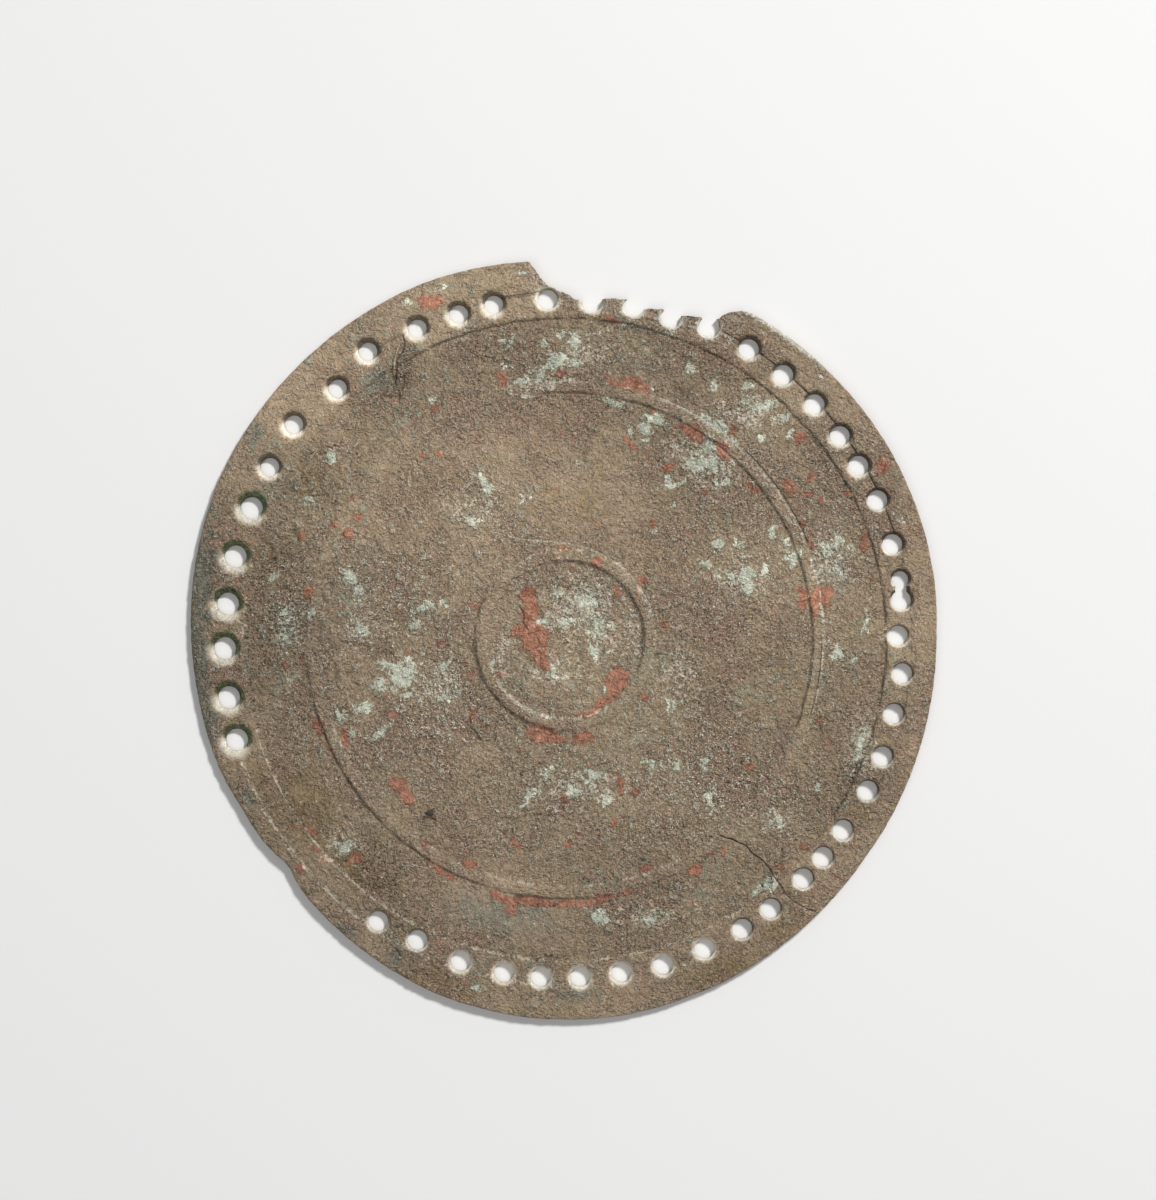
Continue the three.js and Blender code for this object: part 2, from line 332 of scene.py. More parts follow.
def neighbours(loop, normals):
    # for each point, how free it is (0 where another stretch of the outline is close by), and the step
    # that closes a crack there to its wanted width
    tree = treeOf(loop)
    count = len(loop)
    free, close = np.ones(count), np.zeros((count, 2))
    rootWidth, edgeWidth = mirrorForm["crackWidth"]
    crackRoot, crackLength = mirrorForm["crackTaper"]
    for i, (x, y) in enumerate(loop):
        near = tree.find_range((x, y, 0), mirrorForm["nearReach"])
        for _, other, away in near:
            apart = abs(i - other)
            if min(apart, count - apart) > 3:  # not a neighbour along the outline
                free[i] = min(free[i], max(0, (away - 0.3) / 0.6))
        across = [n for n in near if 12 < abs(i - n[1]) < count - 12]
        if across:
            _, other, away = min(across, key=lambda n: n[2])
            step = loop[other] - loop[i]
            share = min(max((math.hypot(x, y) - crackRoot) / crackLength, 0), 1)
            wanted = rootWidth + (edgeWidth - rootWidth) * share
            if step @ normals[i] < -0.7 * away and away > wanted:
                close[i] = step / away * (away - wanted) / 2
    return free, close


def wornLoops(node, centre):
    # the solid's outlines, made fine, with the bronze on their left and eaten a little into it
    loops = []
    for loop in sorted(sliceLoops(node, centre), key=lambda l: -abs(signedArea(l))):
        wanted = 1 if not loops else -1
        if signedArea(loop) * wanted < 0:
            loop = loop[::-1]
        fine = smoothLoop(loop, mirrorForm["loopSpacing"])
        normals = inwardNormals(fine)
        free, close = neighbours(fine, normals)
        bite = np.full(len(fine), mirrorForm["edgeBite"] * (mirrorForm["holeShare"] if loops else 1))
        if not loops:
            bite[isBroken(fine)] = mirrorForm["breakBite"]
        depth = bite * np.clip(0.45 + noiseAt(fine, 0.9, 3) + 0.5 * noiseAt(fine, 3.5, 2, 5), 0, 1)
        depth = depth * free + mirrorForm["edgeGap"]
        closed = fine + close
        loops.append(closed + crackJags(closed) * (not loops) + normals * depth[:, None])
    return loops


def crackJags(points):
    # the same small steps on both sides of the crack, so that it stays as narrow
    size, depth = mirrorForm["crackJags"]
    jags = np.stack([noiseAt(points, size, 1, shift) for shift in (21, 27)], 1) * depth
    radius = np.hypot(*points.T)
    along = plateau(radius, *mirrorForm["crackReach"])
    nearby = np.abs(bearingOf(points) - mirrorForm["crackBearing"]) < mirrorForm["crackSpan"]
    return jags * (along * nearby)[:, None]


def drilledHoles(loops):
    # [x, y, drilled radius, cone width, pale reach, darkness] of every hole, whole or opened
    holes = []
    for loop in loops[1:]:
        middle = loop.mean(0)
        reach = np.linalg.norm(loop - middle, axis=1)
        if reach.mean() > countersinks["leastDrilled"] and reach.std() < countersinks["unevenness"]:
            holes.append((middle[0], middle[1], reach.mean()))
    for bearing, radius, drilled in countersinks["opened"]:
        holes.append((*polar(bearing, radius), drilled))
    return [(x, y, drilled, *runOf(x, y)) for x, y, drilled in holes]


def runOf(x, y):
    bearing = math.degrees(math.atan2(y, x)) % 360
    if bearing < countersinks["smallBearing"]:
        return countersinks["runs"][-1][1:]
    return next(run[1:] for run in countersinks["runs"] if bearing <= run[0])


def insideLoops(points, loops):
    # even-odd test of many points against all the outlines
    inside = np.zeros(len(points), bool)
    px, py = points.T
    for loop in loops:
        for (x1, y1), (x2, y2) in zip(loop, np.roll(loop, -1, 0)):
            if y1 == y2:
                continue
            crosses = (y1 > py) != (y2 > py)
            inside ^= crosses & (px < (x2 - x1) * (py - y1) / (y2 - y1) + x1)
    return inside


def ringPoints(spacing, radii, seed):
    # points on circles about the turning centre, each circle turned by a random share of a step and
    # each point moved a little along it
    rng = np.random.default_rng(seed)
    points = [np.zeros((1, 2))]
    for radius in radii:
        count = max(6, round(2 * math.pi * radius / spacing))
        angles = 2 * math.pi * (np.arange(count) + rng.random()) / count
        angles += rng.normal(0, 0.08, count) * 2 * math.pi / count
        points.append(radius * np.stack([np.cos(angles), np.sin(angles)], 1))
    return np.concatenate(points)


def turnedRadii(spacing, outer):
    # circles at every break of the section, and evenly between them
    shifts = (-0.45, -0.25, -0.1, 0.1, 0.25, 0.45)
    stops = [0] + [shoulder[0] + shift for shoulder in mirrorForm["shoulders"] for shift in shifts] + [outer]
    radii = []
    for start, end in zip(stops, stops[1:]):
        steps = max(1, math.ceil((end - start) / spacing))
        radii += [start + (end - start) * (i + 1) / steps for i in range(steps)]
    return radii


def linePoints(lines):
    # points along each line, in its middle and on both sides
    rows = []
    for path, halfWidth, _ in lines:
        path = finePath(path, halfWidth)
        across = inwardNormals(path) * halfWidth
        rows += [path, path + across, path - across]
    return np.concatenate(rows)


def finePath(path, step):
    path = np.array(path, float)
    fine = [path[0]]
    for i in range(len(path) - 1):
        p0, p3 = path[max(i - 1, 0)], path[min(i + 2, len(path) - 1)]
        steps = max(1, round(float(np.linalg.norm(path[i + 1] - path[i])) / step))
        fine += [splinePoint(p0, path[i], path[i + 1], p3, (k + 1) / steps) for k in range(steps)]
    return np.array(fine)


def treeOf(points):
    tree = kdtree.KDTree(len(points))
    for i, (x, y) in enumerate(points):
        tree.insert((x, y, 0), i)
    tree.balance()
    return tree


def nearest(tree, points):
    found = [tree.find((x, y, 0)) for x, y in points]
    return np.array([f[2] for f in found]), np.array([f[1] for f in found])


def edgeRows(loops, tree, distances):
    # rows of points that follow every outline, thinner further in, with their distance from it
    rows, reach = [], []
    for distance in distances:
        step = max(1, round(distance * 0.9 / mirrorForm["loopSpacing"]))
        for loop in loops:
            row = (loop + inwardNormals(loop) * distance)[::step]
            away, _ = nearest(tree, row)
            keep = away > distance * 0.9
            rows.append(row[keep])
            reach.append(np.full(keep.sum(), distance))
    return np.concatenate(rows), np.concatenate(reach)


def thinned(points, keepAlways, gap):
    # drops points that crowd those before them; the first ones always stay
    tree = treeOf(points[:keepAlways])
    rest = points[keepAlways:]
    away, _ = nearest(tree, rest)
    return np.concatenate([points[:keepAlways], rest[away > gap]])


def triangulated(loops, inner):
    # triangles over the bronze between the outlines, through all the inner points
    rim = np.concatenate(loops)
    points = np.concatenate([rim, inner])
    edges, start = [], 0
    for loop in loops:
        count = len(loop)
        edges += [(start + i, start + (i + 1) % count) for i in range(count)]
        start += count
    result = delaunay_2d_cdt([Vector(p) for p in points], edges, [], 0, 1e-6)
    made, faces, sources = result[0], result[2], result[3]
    order = np.array([s[0] if s else -1 for s in sources])
    if (order < 0).any() or len(made) != len(points):
        raise RuntimeError("the outlines cross each other")
    faces = order[np.array(faces)]
    onRim = (faces < len(rim)).all(1)
    middles = points[faces[onRim]].mean(1)
    keep = ~onRim
    keep[onRim] = insideLoops(middles, loops)
    return points, faces[keep]


def smoothMin(a, b, blend):
    share = np.clip(0.5 + 0.5 * (b - a) / blend, 0, 1)
    return b + (a - b) * share - blend * share * (1 - share)


def smoothStep(low, high, value):
    share = np.clip((value - low) / (high - low), 0, 1)
    return share * share * (3 - 2 * share)


def plateau(value, begin, full, stillFull, end):
    # 1 in a stretch, fading to 0 at both ends
    return smoothStep(begin, full, value) * (1 - smoothStep(stillFull, end, value))


def bearingOf(points):
    return np.degrees(np.arctan2(points[:, 1], points[:, 0])) % 360


def roundedDrop(distance, radius):
    # how far a rounded edge has fallen at a distance from it
    share = np.clip(1 - distance / radius, 0, 1)
    return radius * 0.8 * (1 - np.sqrt(1 - share**2 * 0.98))


def lineWeight(points, lines):
    # 1 in the middle of a line and 0 at its sides, with the depth it is cut to
    weight, depths = np.zeros(len(points)), np.zeros(len(points))
    for path, halfWidth, depth in lines:
        fine = finePath(path, halfWidth / 2)
        box = (points > fine.min(0) - 1).all(1) & (points < fine.max(0) + 1).all(1)
        chosen = np.flatnonzero(box)
        away = np.linalg.norm(points[chosen, None, :] - fine[None, :, :], axis=2).min(1)
        share = np.clip(1 - away / halfWidth, 0, 1)
        weight[chosen] = np.maximum(weight[chosen], share)
        depths[chosen] = np.maximum(depths[chosen], share * depth)
    return weight, depths


# cracks and dark turned lines are darkened with painted shade; the pale lines are real scratches and painted
# highlights
darkLines = crooked(surfaceLines["fissures"]) + scribed(surfaceLines["scribed"])
paleLines = surfaceLines["scratches"] + scribed(surfaceLines["scribedHighlights"])


# Corrosion of the back

# Each patch is (x, y, length, width, strength, turn in degrees). A turn of 0 is left out, and so is a
# strength of 1 where no turn follows it.
patches = {
    "cuprite": [
        # the large flake beside the centre, and the one along the inner moulding
        (-5.4, 6.8, 2.8, 2.4, 1, 90), (-5.2, 4.2, 3.4, 2, 1, 80), (-4.7, 0.5, 5.4, 4.6, 1.1, -60),
        (-7, 1.3, 2.4, 1.8, 1, 20), (-3.4, -3, 4.4, 2.2, 1, -60), (8, -6.6, 4.8, 3, 1.1, 65),
        (5.9, -9.2, 3.2, 2, 1, 45), (4.2, -10.6, 2.8, 1.3, 1, 35), (2.8, -11.4, 2.2, 0.9, 1, 15),
        # under and around the inner moulding
        (-3.6, -14.1, 5, 2.4, 1.05, -12), (-1.3, -15, 3.4, 1.4, 1, 5), (2.5, -14.8, 3, 1.9, 1, 10),
        (5, 11.7, 2.2, 1.1, 0.9, -20), (1.1, 10.7, 1.8, 1.1, 0.9), (-0.8, 13.9, 6, 1, 0.7),
        (7.9, 7.3, 2.2, 1, 0.9, -45), (11.5, 8.7, 1.8, 1.5), (14.8, 2.2, 2.2, 1.6, 0.7),
        (-9.6, -5.6, 1.4, 1.1), (-14.3, -5.6, 1.4, 0.9, 1, 80), (-15.1, -3.5, 1.8, 0.6, 1, -70),
        (-14.1, -11.4, 2.4, 1, 0.9, 70), (-13.5, 5, 1.4, 1, 0.9), (-18.5, -0.6, 1.3, 1.1),
        (11.6, -8.9, 1.7, 1.1, 1, 60), (18.7, -6.7, 1.4, 0.9, 0.8), (4.2, 17.5, 1.2, 1, 0.8),
        (12.8, 17.2, 1.5, 1.5, 0.9), (-6.5, -16.7, 1.4, 0.9, 0.8), (-1.3, 22.8, 1.4, 1.1, 0.8),
        (0.9, 23.9, 1.6, 1.1, 0.7), (-10.7, 14.8, 1.8, 0.9, 0.7), (4, -19.1, 1.5, 0.9, 0.8),
        # the left of the field
        (-19.7, 34.4, 2, 1.7, 0.8), (-21.2, 27.5, 1.2, 1.1), (-19.2, 27.7, 1.8, 1.1),
        (-32.4, 21.3, 1.1, 0.9, 0.9), (-31.2, 18.5, 1.8, 1.4, 0.9), (-34.8, 17.3, 1.5, 1.2),
        (-32.4, 16, 1.9, 1.8), (-39.6, 15.3, 1.2, 1.4, 0.9), (-38.4, 7.4, 2.6, 1.3, 1.1, 65),
        (-46.8, 7.7, 1.3, 0.9, 0.9), (-42.1, -4.4, 1.1, 1.4, 0.9), (-39.3, -3, 1.2, 1.6, 0.8),
        (-37, -12.8, 3.2, 1.1, 0.9, -72), (-36, -16.2, 3.6, 1, 0.8, -65), (-33.1, -14.9, 3.4, 1.1, 1, -75),
        (-26.1, -11.4, 1.7, 1.5), (-23.6, -1.8, 1.2, 1, 0.9), (-26.9, -8.5, 1.2, 0.9, 0.8),
        (-38.1, -29, 2.4, 1.3, 1, -35), (-37.4, -31.7, 2.2, 0.8, 0.8, -30), (-31.4, -33.1, 2.6, 1.7, 1, 60),
        (-39.5, -34.1, 2, 0.9, 0.9, 10), (-40.5, -27.8, 1.2, 1, 0.7), (-44.3, 30.7, 1.6, 1.6, 0.7),
        # the bottom of the field and along the middle moulding
        (-24.8, -21.9, 3.4, 2.4, 1.1, -20), (-23.6, -23.4, 2.6, 2, 1.1, -60), (-19.4, -21.5, 1.5, 1.5, 0.7),
        (-21.2, -30.5, 3.2, 0.9, 0.8, -35), (-18.5, -34.9, 5, 1.2, 1, -30),
        (-14.4, -33.6, 2.4, 1.5, 1, -30), (-9, -38.8, 6, 1.5, 1, -22), (-4.7, -39.4, 5, 1.6, 1.1, -5),
        (1.2, -39.6, 5.6, 1.3), (5.4, -39, 5, 1.3, 1, 8), (9.2, -38, 3.4, 1, 0.9, 15), (-8, -41, 2.2, 1),
        (-7.2, -30.9, 2, 1, 1, -60), (-9.2, -29.2, 1.2, 0.9, 0.9), (0.2, -30.5, 1.6, 1.1, 0.9),
        (-0.2, -23.9, 2.6, 1.2, 0.9, -60), (8, -21.9, 3.4, 1, 0.9, 80), (10.3, -23.1, 1.2, 1.1, 0.9),
        (15.5, -25.6, 1.4, 1.1, 0.8), (27.7, -19.1, 1.6, 1.2), (7.2, -27.6, 1.6, 1.1, 0.9, 60),
        (12.3, -34.5, 3.2, 1.1, 0.9, 25), (19.4, -34.5, 2.3, 1.7, 1, 60), (21.8, -31.9, 1.8, 0.9, 0.9, 25),
        (23.9, -31.7, 1.8, 0.9, 0.8, 80), (32.2, -34.3, 1.5, 1, 0.9), (35.5, -31.3, 2.6, 1.7, 0.7),
        (2.1, -29.2, 1.2, 0.9, 0.8), (-15.1, -51.6, 1.5, 0.9, 0.9), (40.7, -36.1, 1.7, 1, 0.8),
        (37.7, -12, 1.2, 2.2, 0.8), (41.9, -19.7, 2.2, 0.8, 0.7),
        # the top
        (-20.1, 50.9, 4.6, 2.1, 1, -12), (-12.9, 49.7, 1.2, 1.8, 0.8), (-9.4, 39.2, 1.5, 2.2, 0.9),
        (-0.5, 39.7, 1.7, 1.2, 0.9), (7, 47.6, 3.2, 1.3, 0.8, -10), (9.4, 38.3, 7.4, 1.9, 1.1, -17),
        (13.1, 34.6, 1.5, 0.9, 1, -15), (16.9, 32.3, 1.5, 1.3), (19.2, 30.9, 3.4, 2.1, 1.1, -38),
        (23.5, 28.4, 3.3, 1.7, 1.1, -42), (25.3, 31.3, 2, 1.4), (9.8, 29.2, 3.8, 1.1, 0.9, -35),
        (15.1, 25.8, 2.2, 1, 1, 15), (28.1, 22.8, 2.6, 1.1, 1, -40), (20.9, 22.1, 1, 0.9, 0.8),
        # the right
        (35.1, 30.3, 2.6, 1.8, 1, 60), (47.7, 26, 2.6, 1.5, 1.1, 90), (42.4, 21.7, 1.6, 1.1, 0.9),
        (45, 14.4, 2.6, 1.4, 1, 80), (33.4, 23.2, 2.2, 1.6, 1, -60), (36.7, 24.5, 1.4, 1.6),
        (36.3, 22, 2.2, 1.2, 0.8), (38.1, 21.1, 1.2, 1, 0.8), (35.6, 17.5, 1.6, 1, 0.9, -60),
        (36.7, 14.6, 2.6, 1.1, 0.9, -72), (35.5, 6.2, 3.8, 1.5, 1, 90), (37.6, 5.9, 5, 1.7, 1.1, 88),
        (39.2, 6.2, 4.2, 1.9, 0.9, 85), (29.4, 8.9, 1.5, 1.3, 0.9), (46, 9, 1.6, 1.2, 0.7),
    ],
    "malachite": [
        # the left of the field
        (-35, 27.1, 1.9, 1.9), (-38.5, 20.9, 1.8, 1.6, 0.9), (-32.4, 9.8, 3.3, 1.9, 1, -40),
        (-31.2, 7, 1.6, 2), (-42.5, 4.2, 2, 1, 1, 20), (-41.3, 3, 1.4, 1, 1, -70),
        (-40.6, 1.6, 1.6, 0.9, 0.9, -20), (-42.1, -0.2, 1.6, 1.4, 1, 80), (-38.4, 3.7, 2.6, 0.7, 1, 85),
        (-43.9, 9.2, 2.2, 1, 0.9, 30), (-20.7, 5, 2.4, 1.3), (-18.1, 5.2, 1.6, 0.9),
        (-22.4, 2, 2.8, 1, 1, 60), (-30.5, 1.4, 3.4, 2.4, 0.8), (-24.3, -5.2, 3.6, 3, 1.2, -50),
        (-26.8, -3.6, 2.6, 1.3, 1.1, -10), (-27.9, -6.9, 3.2, 1.9), (-30.3, -10.1, 3.4, 1.5, 0.9, 20),
        (-24, -8.5, 2.2, 1.3, 0.9), (-18.5, -4.2, 2.6, 1.7, 0.8), (-18.5, -8.5, 2, 1.5, 0.8),
        (-16, -7.9, 1.8, 1.3, 1.1), (-31.8, -14, 1.5, 1.3), (-27.9, -14.4, 1.9, 1.7, 0.8),
        (-34.2, -11.6, 1.4, 2.2, 0.8), (-32.6, -31.3, 3.6, 2.8, 0.8), (-10.9, -3.5, 0.8, 1.4, 0.9),
        # the top
        (-18.8, 52.8, 2.6, 1.3, 0.8), (-23.5, 50.7, 1.6, 1, 0.8), (-20.3, 36.3, 2.4, 2, 0.7),
        (-12.1, 22.8, 3.6, 2.4, 0.85, -60), (-14, 17.6, 3, 1.6, 0.75, 30), (-6.1, 21.3, 1.2, 2.2, 0.75),
        (-6.5, 55.3, 1.8, 1.1, 0.9), (-8.3, 44.6, 2.4, 2, 0.8), (-2.9, 44.2, 1.4, 1.5),
        (-1.6, 41.6, 3.2, 1.7, 1.2, 35), (-3.5, 39.7, 2.2, 1.3, 1, 60), (-6.5, 38.9, 3, 0.9, 1, 12),
        (-5.3, 36.3, 2.5, 0.9), (-8.7, 40.8, 1.9, 1, 0.9), (1.2, 44.9, 4, 2.4, 0.9, 80),
        (-0.5, 45.9, 1.6, 1.1), (1.7, 41.6, 1.9, 1.7), (15.9, 45.6, 3, 1.4, 0.75, -20),
        (19, 41, 2.4, 1.1, 0.9, 100), (7.2, 39.5, 3, 1, 0.9, -10), (13.1, 37.4, 1.1, 1, 0.9),
        (7.2, 35.7, 4.4, 1.2, 1, -12), (13.6, 33, 2.7, 1.6, 1.1, -15), (11.9, 31.4, 1.7, 1.4),
        (11.9, 30, 2.2, 1, 0.9, 10), (9.8, 31.1, 1.2, 1.8, 0.8), (2.1, 26.6, 2.2, 1.2, 0.75),
        # the large crust inside the middle moulding, and what spreads from it
        (21, 29.4, 2.8, 1.6, 1.2, 100), (20.2, 26.3, 3.4, 3.2, 0.95), (22.2, 26.4, 3.2, 1.5, 1, 90),
        (22.3, 23.6, 2.6, 1.4, 0.9, 80), (16.8, 23.4, 3.2, 1, 1, 25), (15.5, 24.2, 1.8, 0.9, 0.9, 80),
        (24.5, 23.6, 2.2, 1.5, 0.8), (16.3, 20.2, 1, 1.3, 0.9), (23.2, 32.2, 3.8, 1.5, 1.2, -32),
        (21.4, 33.2, 1.6, 1.1), (25.5, 29.9, 1.6, 0.9, 1, -40), (29.7, 34.8, 3, 1.8, 1, 15),
        (27.3, 35.9, 1.8, 1.7, 0.9), (27.7, 38.2, 1.9, 1.9, 0.8), (22.5, 38.5, 2.6, 1.2, 0.9, 80),
        (32.8, 33.7, 2.2, 1.7, 0.8), (33.6, 31.3, 1.8, 1.6, 0.8), (29.4, 29.9, 1.9, 1.1, 0.9),
        (38.7, 39.3, 3, 1, 0.75, -45), (36.6, 33.2, 2.4, 0.9, 0.8, -45),
        # the right
        (31.2, 16, 1.7, 1.3), (34, 12.3, 2.2, 2), (33.2, 14.6, 2, 1.1, 0.9, 90), (22.9, 14, 1.7, 1.4, 1.1),
        (26.1, 13.8, 2.4, 2.2, 0.75), (20.8, 11.6, 2.3, 1, 0.9), (26.9, 9.3, 3.6, 2, 0.95, 15),
        (27.3, 7.8, 1.6, 1.7, 1.1), (24.5, 9.7, 2.6, 1.2, 0.9), (29.6, 10.8, 2, 1.4, 0.9),
        (39.1, 13.4, 2.6, 2.8, 0.75), (41.3, 14.7, 1.6, 1.5, 0.8), (41, 10.4, 2.1, 1.6, 0.8),
        (45.4, 2.2, 3, 1.8, 0.75, 90), (50.1, 18.3, 2.8, 2.2, 0.7), (41.1, -2.2, 3, 1.4, 0.9, -20),
        (43.4, -3.4, 2.4, 0.9, 0.8), (44.3, -16.1, 6, 1.9, 0.85, 80), (37.9, -22.3, 1.8, 1, 0.9, 80),
        (30.4, -36.5, 3.2, 1.5, 1, 30), (28.8, -37.6, 2.6, 1.1, 0.9, 40), (32.4, -27.4, 3, 1.5, 0.75),
        (16.7, -2.5, 2.6, 1, 0.75, -15), (16, -9.9, 3, 2.8, 0.7),
        # the inner disc
        (3.6, 6.3, 4.4, 3.8, 0.85), (2.9, 5.6, 1.2, 2.2), (0.1, 2.8, 3.2, 1.1, 1, 15),
        (-3.2, 3, 2.2, 0.8, 0.9, -10), (-1.4, 7.2, 3, 2.4, 0.75), (5, 2, 3, 3, 0.8),
        (4.3, -1.7, 2.4, 1.1, 0.9, 110), (-1.4, -5, 2.4, 1.8, 0.75), (5.8, -7.7, 1.8, 1, 0.9, 70),
        (13.3, 15.9, 1, 0.9),
        # the bottom
        (-5.1, -23.5, 4, 1.8, 0.85, 35), (1.6, -22.7, 3.4, 2.2, 0.9), (-2.7, -19.9, 2.4, 1.5, 0.85, 30),
        (4, -20.3, 3, 2.2, 0.85), (6, -23.9, 2.2, 1.4, 0.9, 80), (12.7, -18.7, 3.4, 1.7, 0.9, -20),
        (16.7, -19.1, 2, 1.6, 0.85), (21, -18.3, 3, 1.9, 0.9, 80), (21.3, -24.2, 3.4, 1, 0.85, 90),
        (5, -41.4, 4.6, 2.6, 0.9, -35), (12, -41.8, 4, 1.2, 0.8, 5), (14.7, -41.1, 2.6, 1.1, 0.8),
        (-13.3, -52.2, 3, 1.7, 0.85, -15),
    ],
    # paler and deeper areas of the ground
    "dusty": [
        (0, 0, 50, 50, 0.6), (-17, 19, 30, 26, 1.6), (30, 10, 30, 34, 0.75), (22, -20, 24, 20, 0.7),
        (2, 24, 30, 14, 0.6), (-38, 38, 26, 12, 1.5, 45), (-15, 51, 28, 9, 1.5, 16), (52, 8, 6, 30, 0.7),
        (38, -38, 8, 20, 0.5, -45),
    ],
    "deep": [
        (-39, -33, 14, 34, 1.4, 40), (-44, 2, 9, 26, 0.8), (-52, 0, 6, 30, 0.8), (-8, -45, 34, 8, 0.5),
        (24, -48, 24, 6, 0.5, 25), (-8, 46, 22, 7, 0.5, 5), (43, -20, 8, 14, 0.5),
        (14, 36, 24, 7, 0.5, -25),
    ],
    # thin pale veils
    "veil": [
        (2.5, 5, 9, 7), (5.5, 0.5, 5, 9, 0.9), (-1, 2.6, 8, 2, 1.1, 5), (-2, -5, 7, 4, 0.8),
        (-9.5, -2, 2, 7, 0.9), (9.8, 2, 2, 9, 0.8, 10), (-30.5, 1.4, 5, 4), (-19, -6, 8, 7, 0.8),
        (-24, -5, 9, 5, 0.7), (21, 27, 9, 7, 1, -30), (28, 34, 10, 5, 0.9), (40, 12, 6, 8, 0.9),
        (2, 43, 9, 6, 0.8, 30), (-3, 38.5, 9, 2, 1, 10), (2, -22, 14, 5, 0.8), (44.3, -16.1, 4, 9, 1, -10),
        (-14, 20, 9, 5, 0.7, 20), (-33, -31, 6, 5, 0.8), (31, -27, 6, 5, 0.7), (13, -41.5, 14, 3, 0.8),
        (27, 9, 8, 5, 0.8), (17, -5, 6, 10, 0.7), (-41.5, 2.5, 5, 6, 0.8),
    ],
    "crumpled": [
        (-24.3, 42, 12, 2.4, 1.3, 84), (-25.5, 37, 3, 2, 1, 30), (-24.2, -43.8, 6, 3.4, 1.3, -35),
        (-24.2, -47.5, 3, 3.4, 1.1), (41.5, 24, 5, 14, 0.7, 20), (43.5, -20, 5, 9, 0.8),
        (35.5, -18, 5, 8, 0.8, -20), (7.5, 50, 22, 4, 1.1, -6), (-14, -8, 6, 12, 0.7, 20),
        (46, 20, 3, 9, 1, 20), (20, 27, 12, 9, 0.4, -30), (-42, 2, 11, 36, 0.9), (-29, -2, 16, 26, 0.6),
        (23, -20, 18, 16, 0.6), (-32, -31, 5, 4, 0.8), (30.5, -36, 9, 4, 0.8, -35), (4, -20, 12, 6, 0.6),
    ],
    "slate": [
        (-28.6, 38.9, 3.8, 2.8, 1, 20), (-38.7, 41.5, 2.4, 1.5, 1, 45), (-46.6, 31, 3, 2.4, 0.9, 60),
        (-47.8, -24, 2.4, 1.5, 1.3, -60), (-32.6, -43.9, 3.4, 1.2, 1, -40), (-25.3, -47.7, 1.4, 2.8, 1.1),
        (1.2, -53.2, 8, 3, 0.7), (-9.8, -41.4, 18, 6, 0.75, -6), (-22.9, 43.6, 2.4, 1.4, 0.8),
        (-33, 6, 9, 6, 0.6, 40), (-41.5, 1, 5, 7, 0.6), (40.5, 10.5, 7, 9, 0.55),
    ],
    "smudge": [
        (32.6, -15.5, 8, 4, 1, 76), (29, -22.5, 8, 3, 0.9, 60), (24, -29, 8, 2.4, 0.7, 45),
        (17.2, 37, 5, 3.4, 0.9, -20), (12, 40.5, 8, 4, 0.7, -10), (-3, 47, 12, 3, 0.6),
        (-19, 32, 9, 6, 0.6), (-31, -24, 7, 5, 0.7, 30), (40, -8, 5, 9, 0.6), (39, 27, 5, 9, 0.6, 40),
        (-43, -14, 5, 8, 0.6), (-2.5, -10, 7, 2.4, 0.6, -10), (15, -38, 8, 4, 0.6, 15),
    ],
    "ochre": [
        (-40.2, -23.5, 15, 9, 1, -58), (-29, -36, 12, 5, 0.8, -38), (34, -41.6, 8, 3.6, 1, 45),
        (23.7, -49.4, 9, 3.4, 1, 25), (-18.5, -51.2, 11, 4, 1.1, -22), (-50, 11.8, 5, 4, 0.9),
        (-49.2, 19.5, 5, 4, 0.9), (-51, -8, 5, 4, 0.7), (-44, 12, 9, 5, 0.7, 60),
        (1.5, 20.5, 16, 7, 0.5, 10), (-20, 23, 14, 6, 0.5, 10), (-37, 24.5, 9, 5, 0.6, 20),
        (44, -26.5, 8, 4, 0.6, 60), (13, 13, 12, 8, 0.5), (-10, -6, 5, 8, 0.5, 20),
    ],
}

# How rough the corroded surface is, and where it is smoother or speckled with lime
relief = {
    "swell": (9.0, 0.03), "lumps": (2.0, 0.22), "grains": (0.95, 0.2),  # size and height
    "roughening": {"smooth": -0.7, "crumpled": 1.2, "ridge": -0.3, "rim": -0.4},  # or calming
    "pitSize": 1.1, "pitDepth": 0.2, "pitShare": 0.22, "pitReach": 48,
    "patchSize": 7.0, "patchShare": 0.9,  # rough areas and calm ones alternate over this size
    "flakeRise": 0.09, "flakeEdge": (0.42, 0.55),  # weights where a flake begins and is at its full height
    "crustRise": 0.07, "crustEdge": (0.42, 0.6),
    "warp": 0.7,  # how far noise moves a patch's outline
    "smooth": [
        (-9.8, -41.4, 20, 7, 1, -6), (-40.2, -23.5, 16, 9, 0.9, -58), (1, -7, 8, 5, 0.8),
        (2, 21, 18, 8, 0.6, 10), (-8, 30, 22, 7, 0.6, 8),
    ],
    "speckled": [
        (-24, -4, 22, 26), (1.5, 3, 16, 14), (14, -19, 30, 14, 1, -10), (24, 27, 16, 14, 0.6),
        (26, 10, 16, 12, 0.9), (-12, 20, 10, 10, 0.8), (-41, 6, 8, 24, 0.8), (40, 8, 8, 24, 0.8),
        (2, 43, 22, 6, 0.8), (-5, -24, 20, 10, 0.8),
    ],
}


def warped(points):
    # places shifted by noise, which makes the patches' outlines uneven
    shift = np.stack([noiseAt(points, 2.6, 3, 61), noiseAt(points, 2.6, 3, 67)], 1)
    shiftToo = np.stack([noiseAt(points, 0.9, 2, 71), noiseAt(points, 0.9, 2, 73)], 1)
    return points + relief["warp"] * shift + relief["warp"] * 0.5 * shiftToo


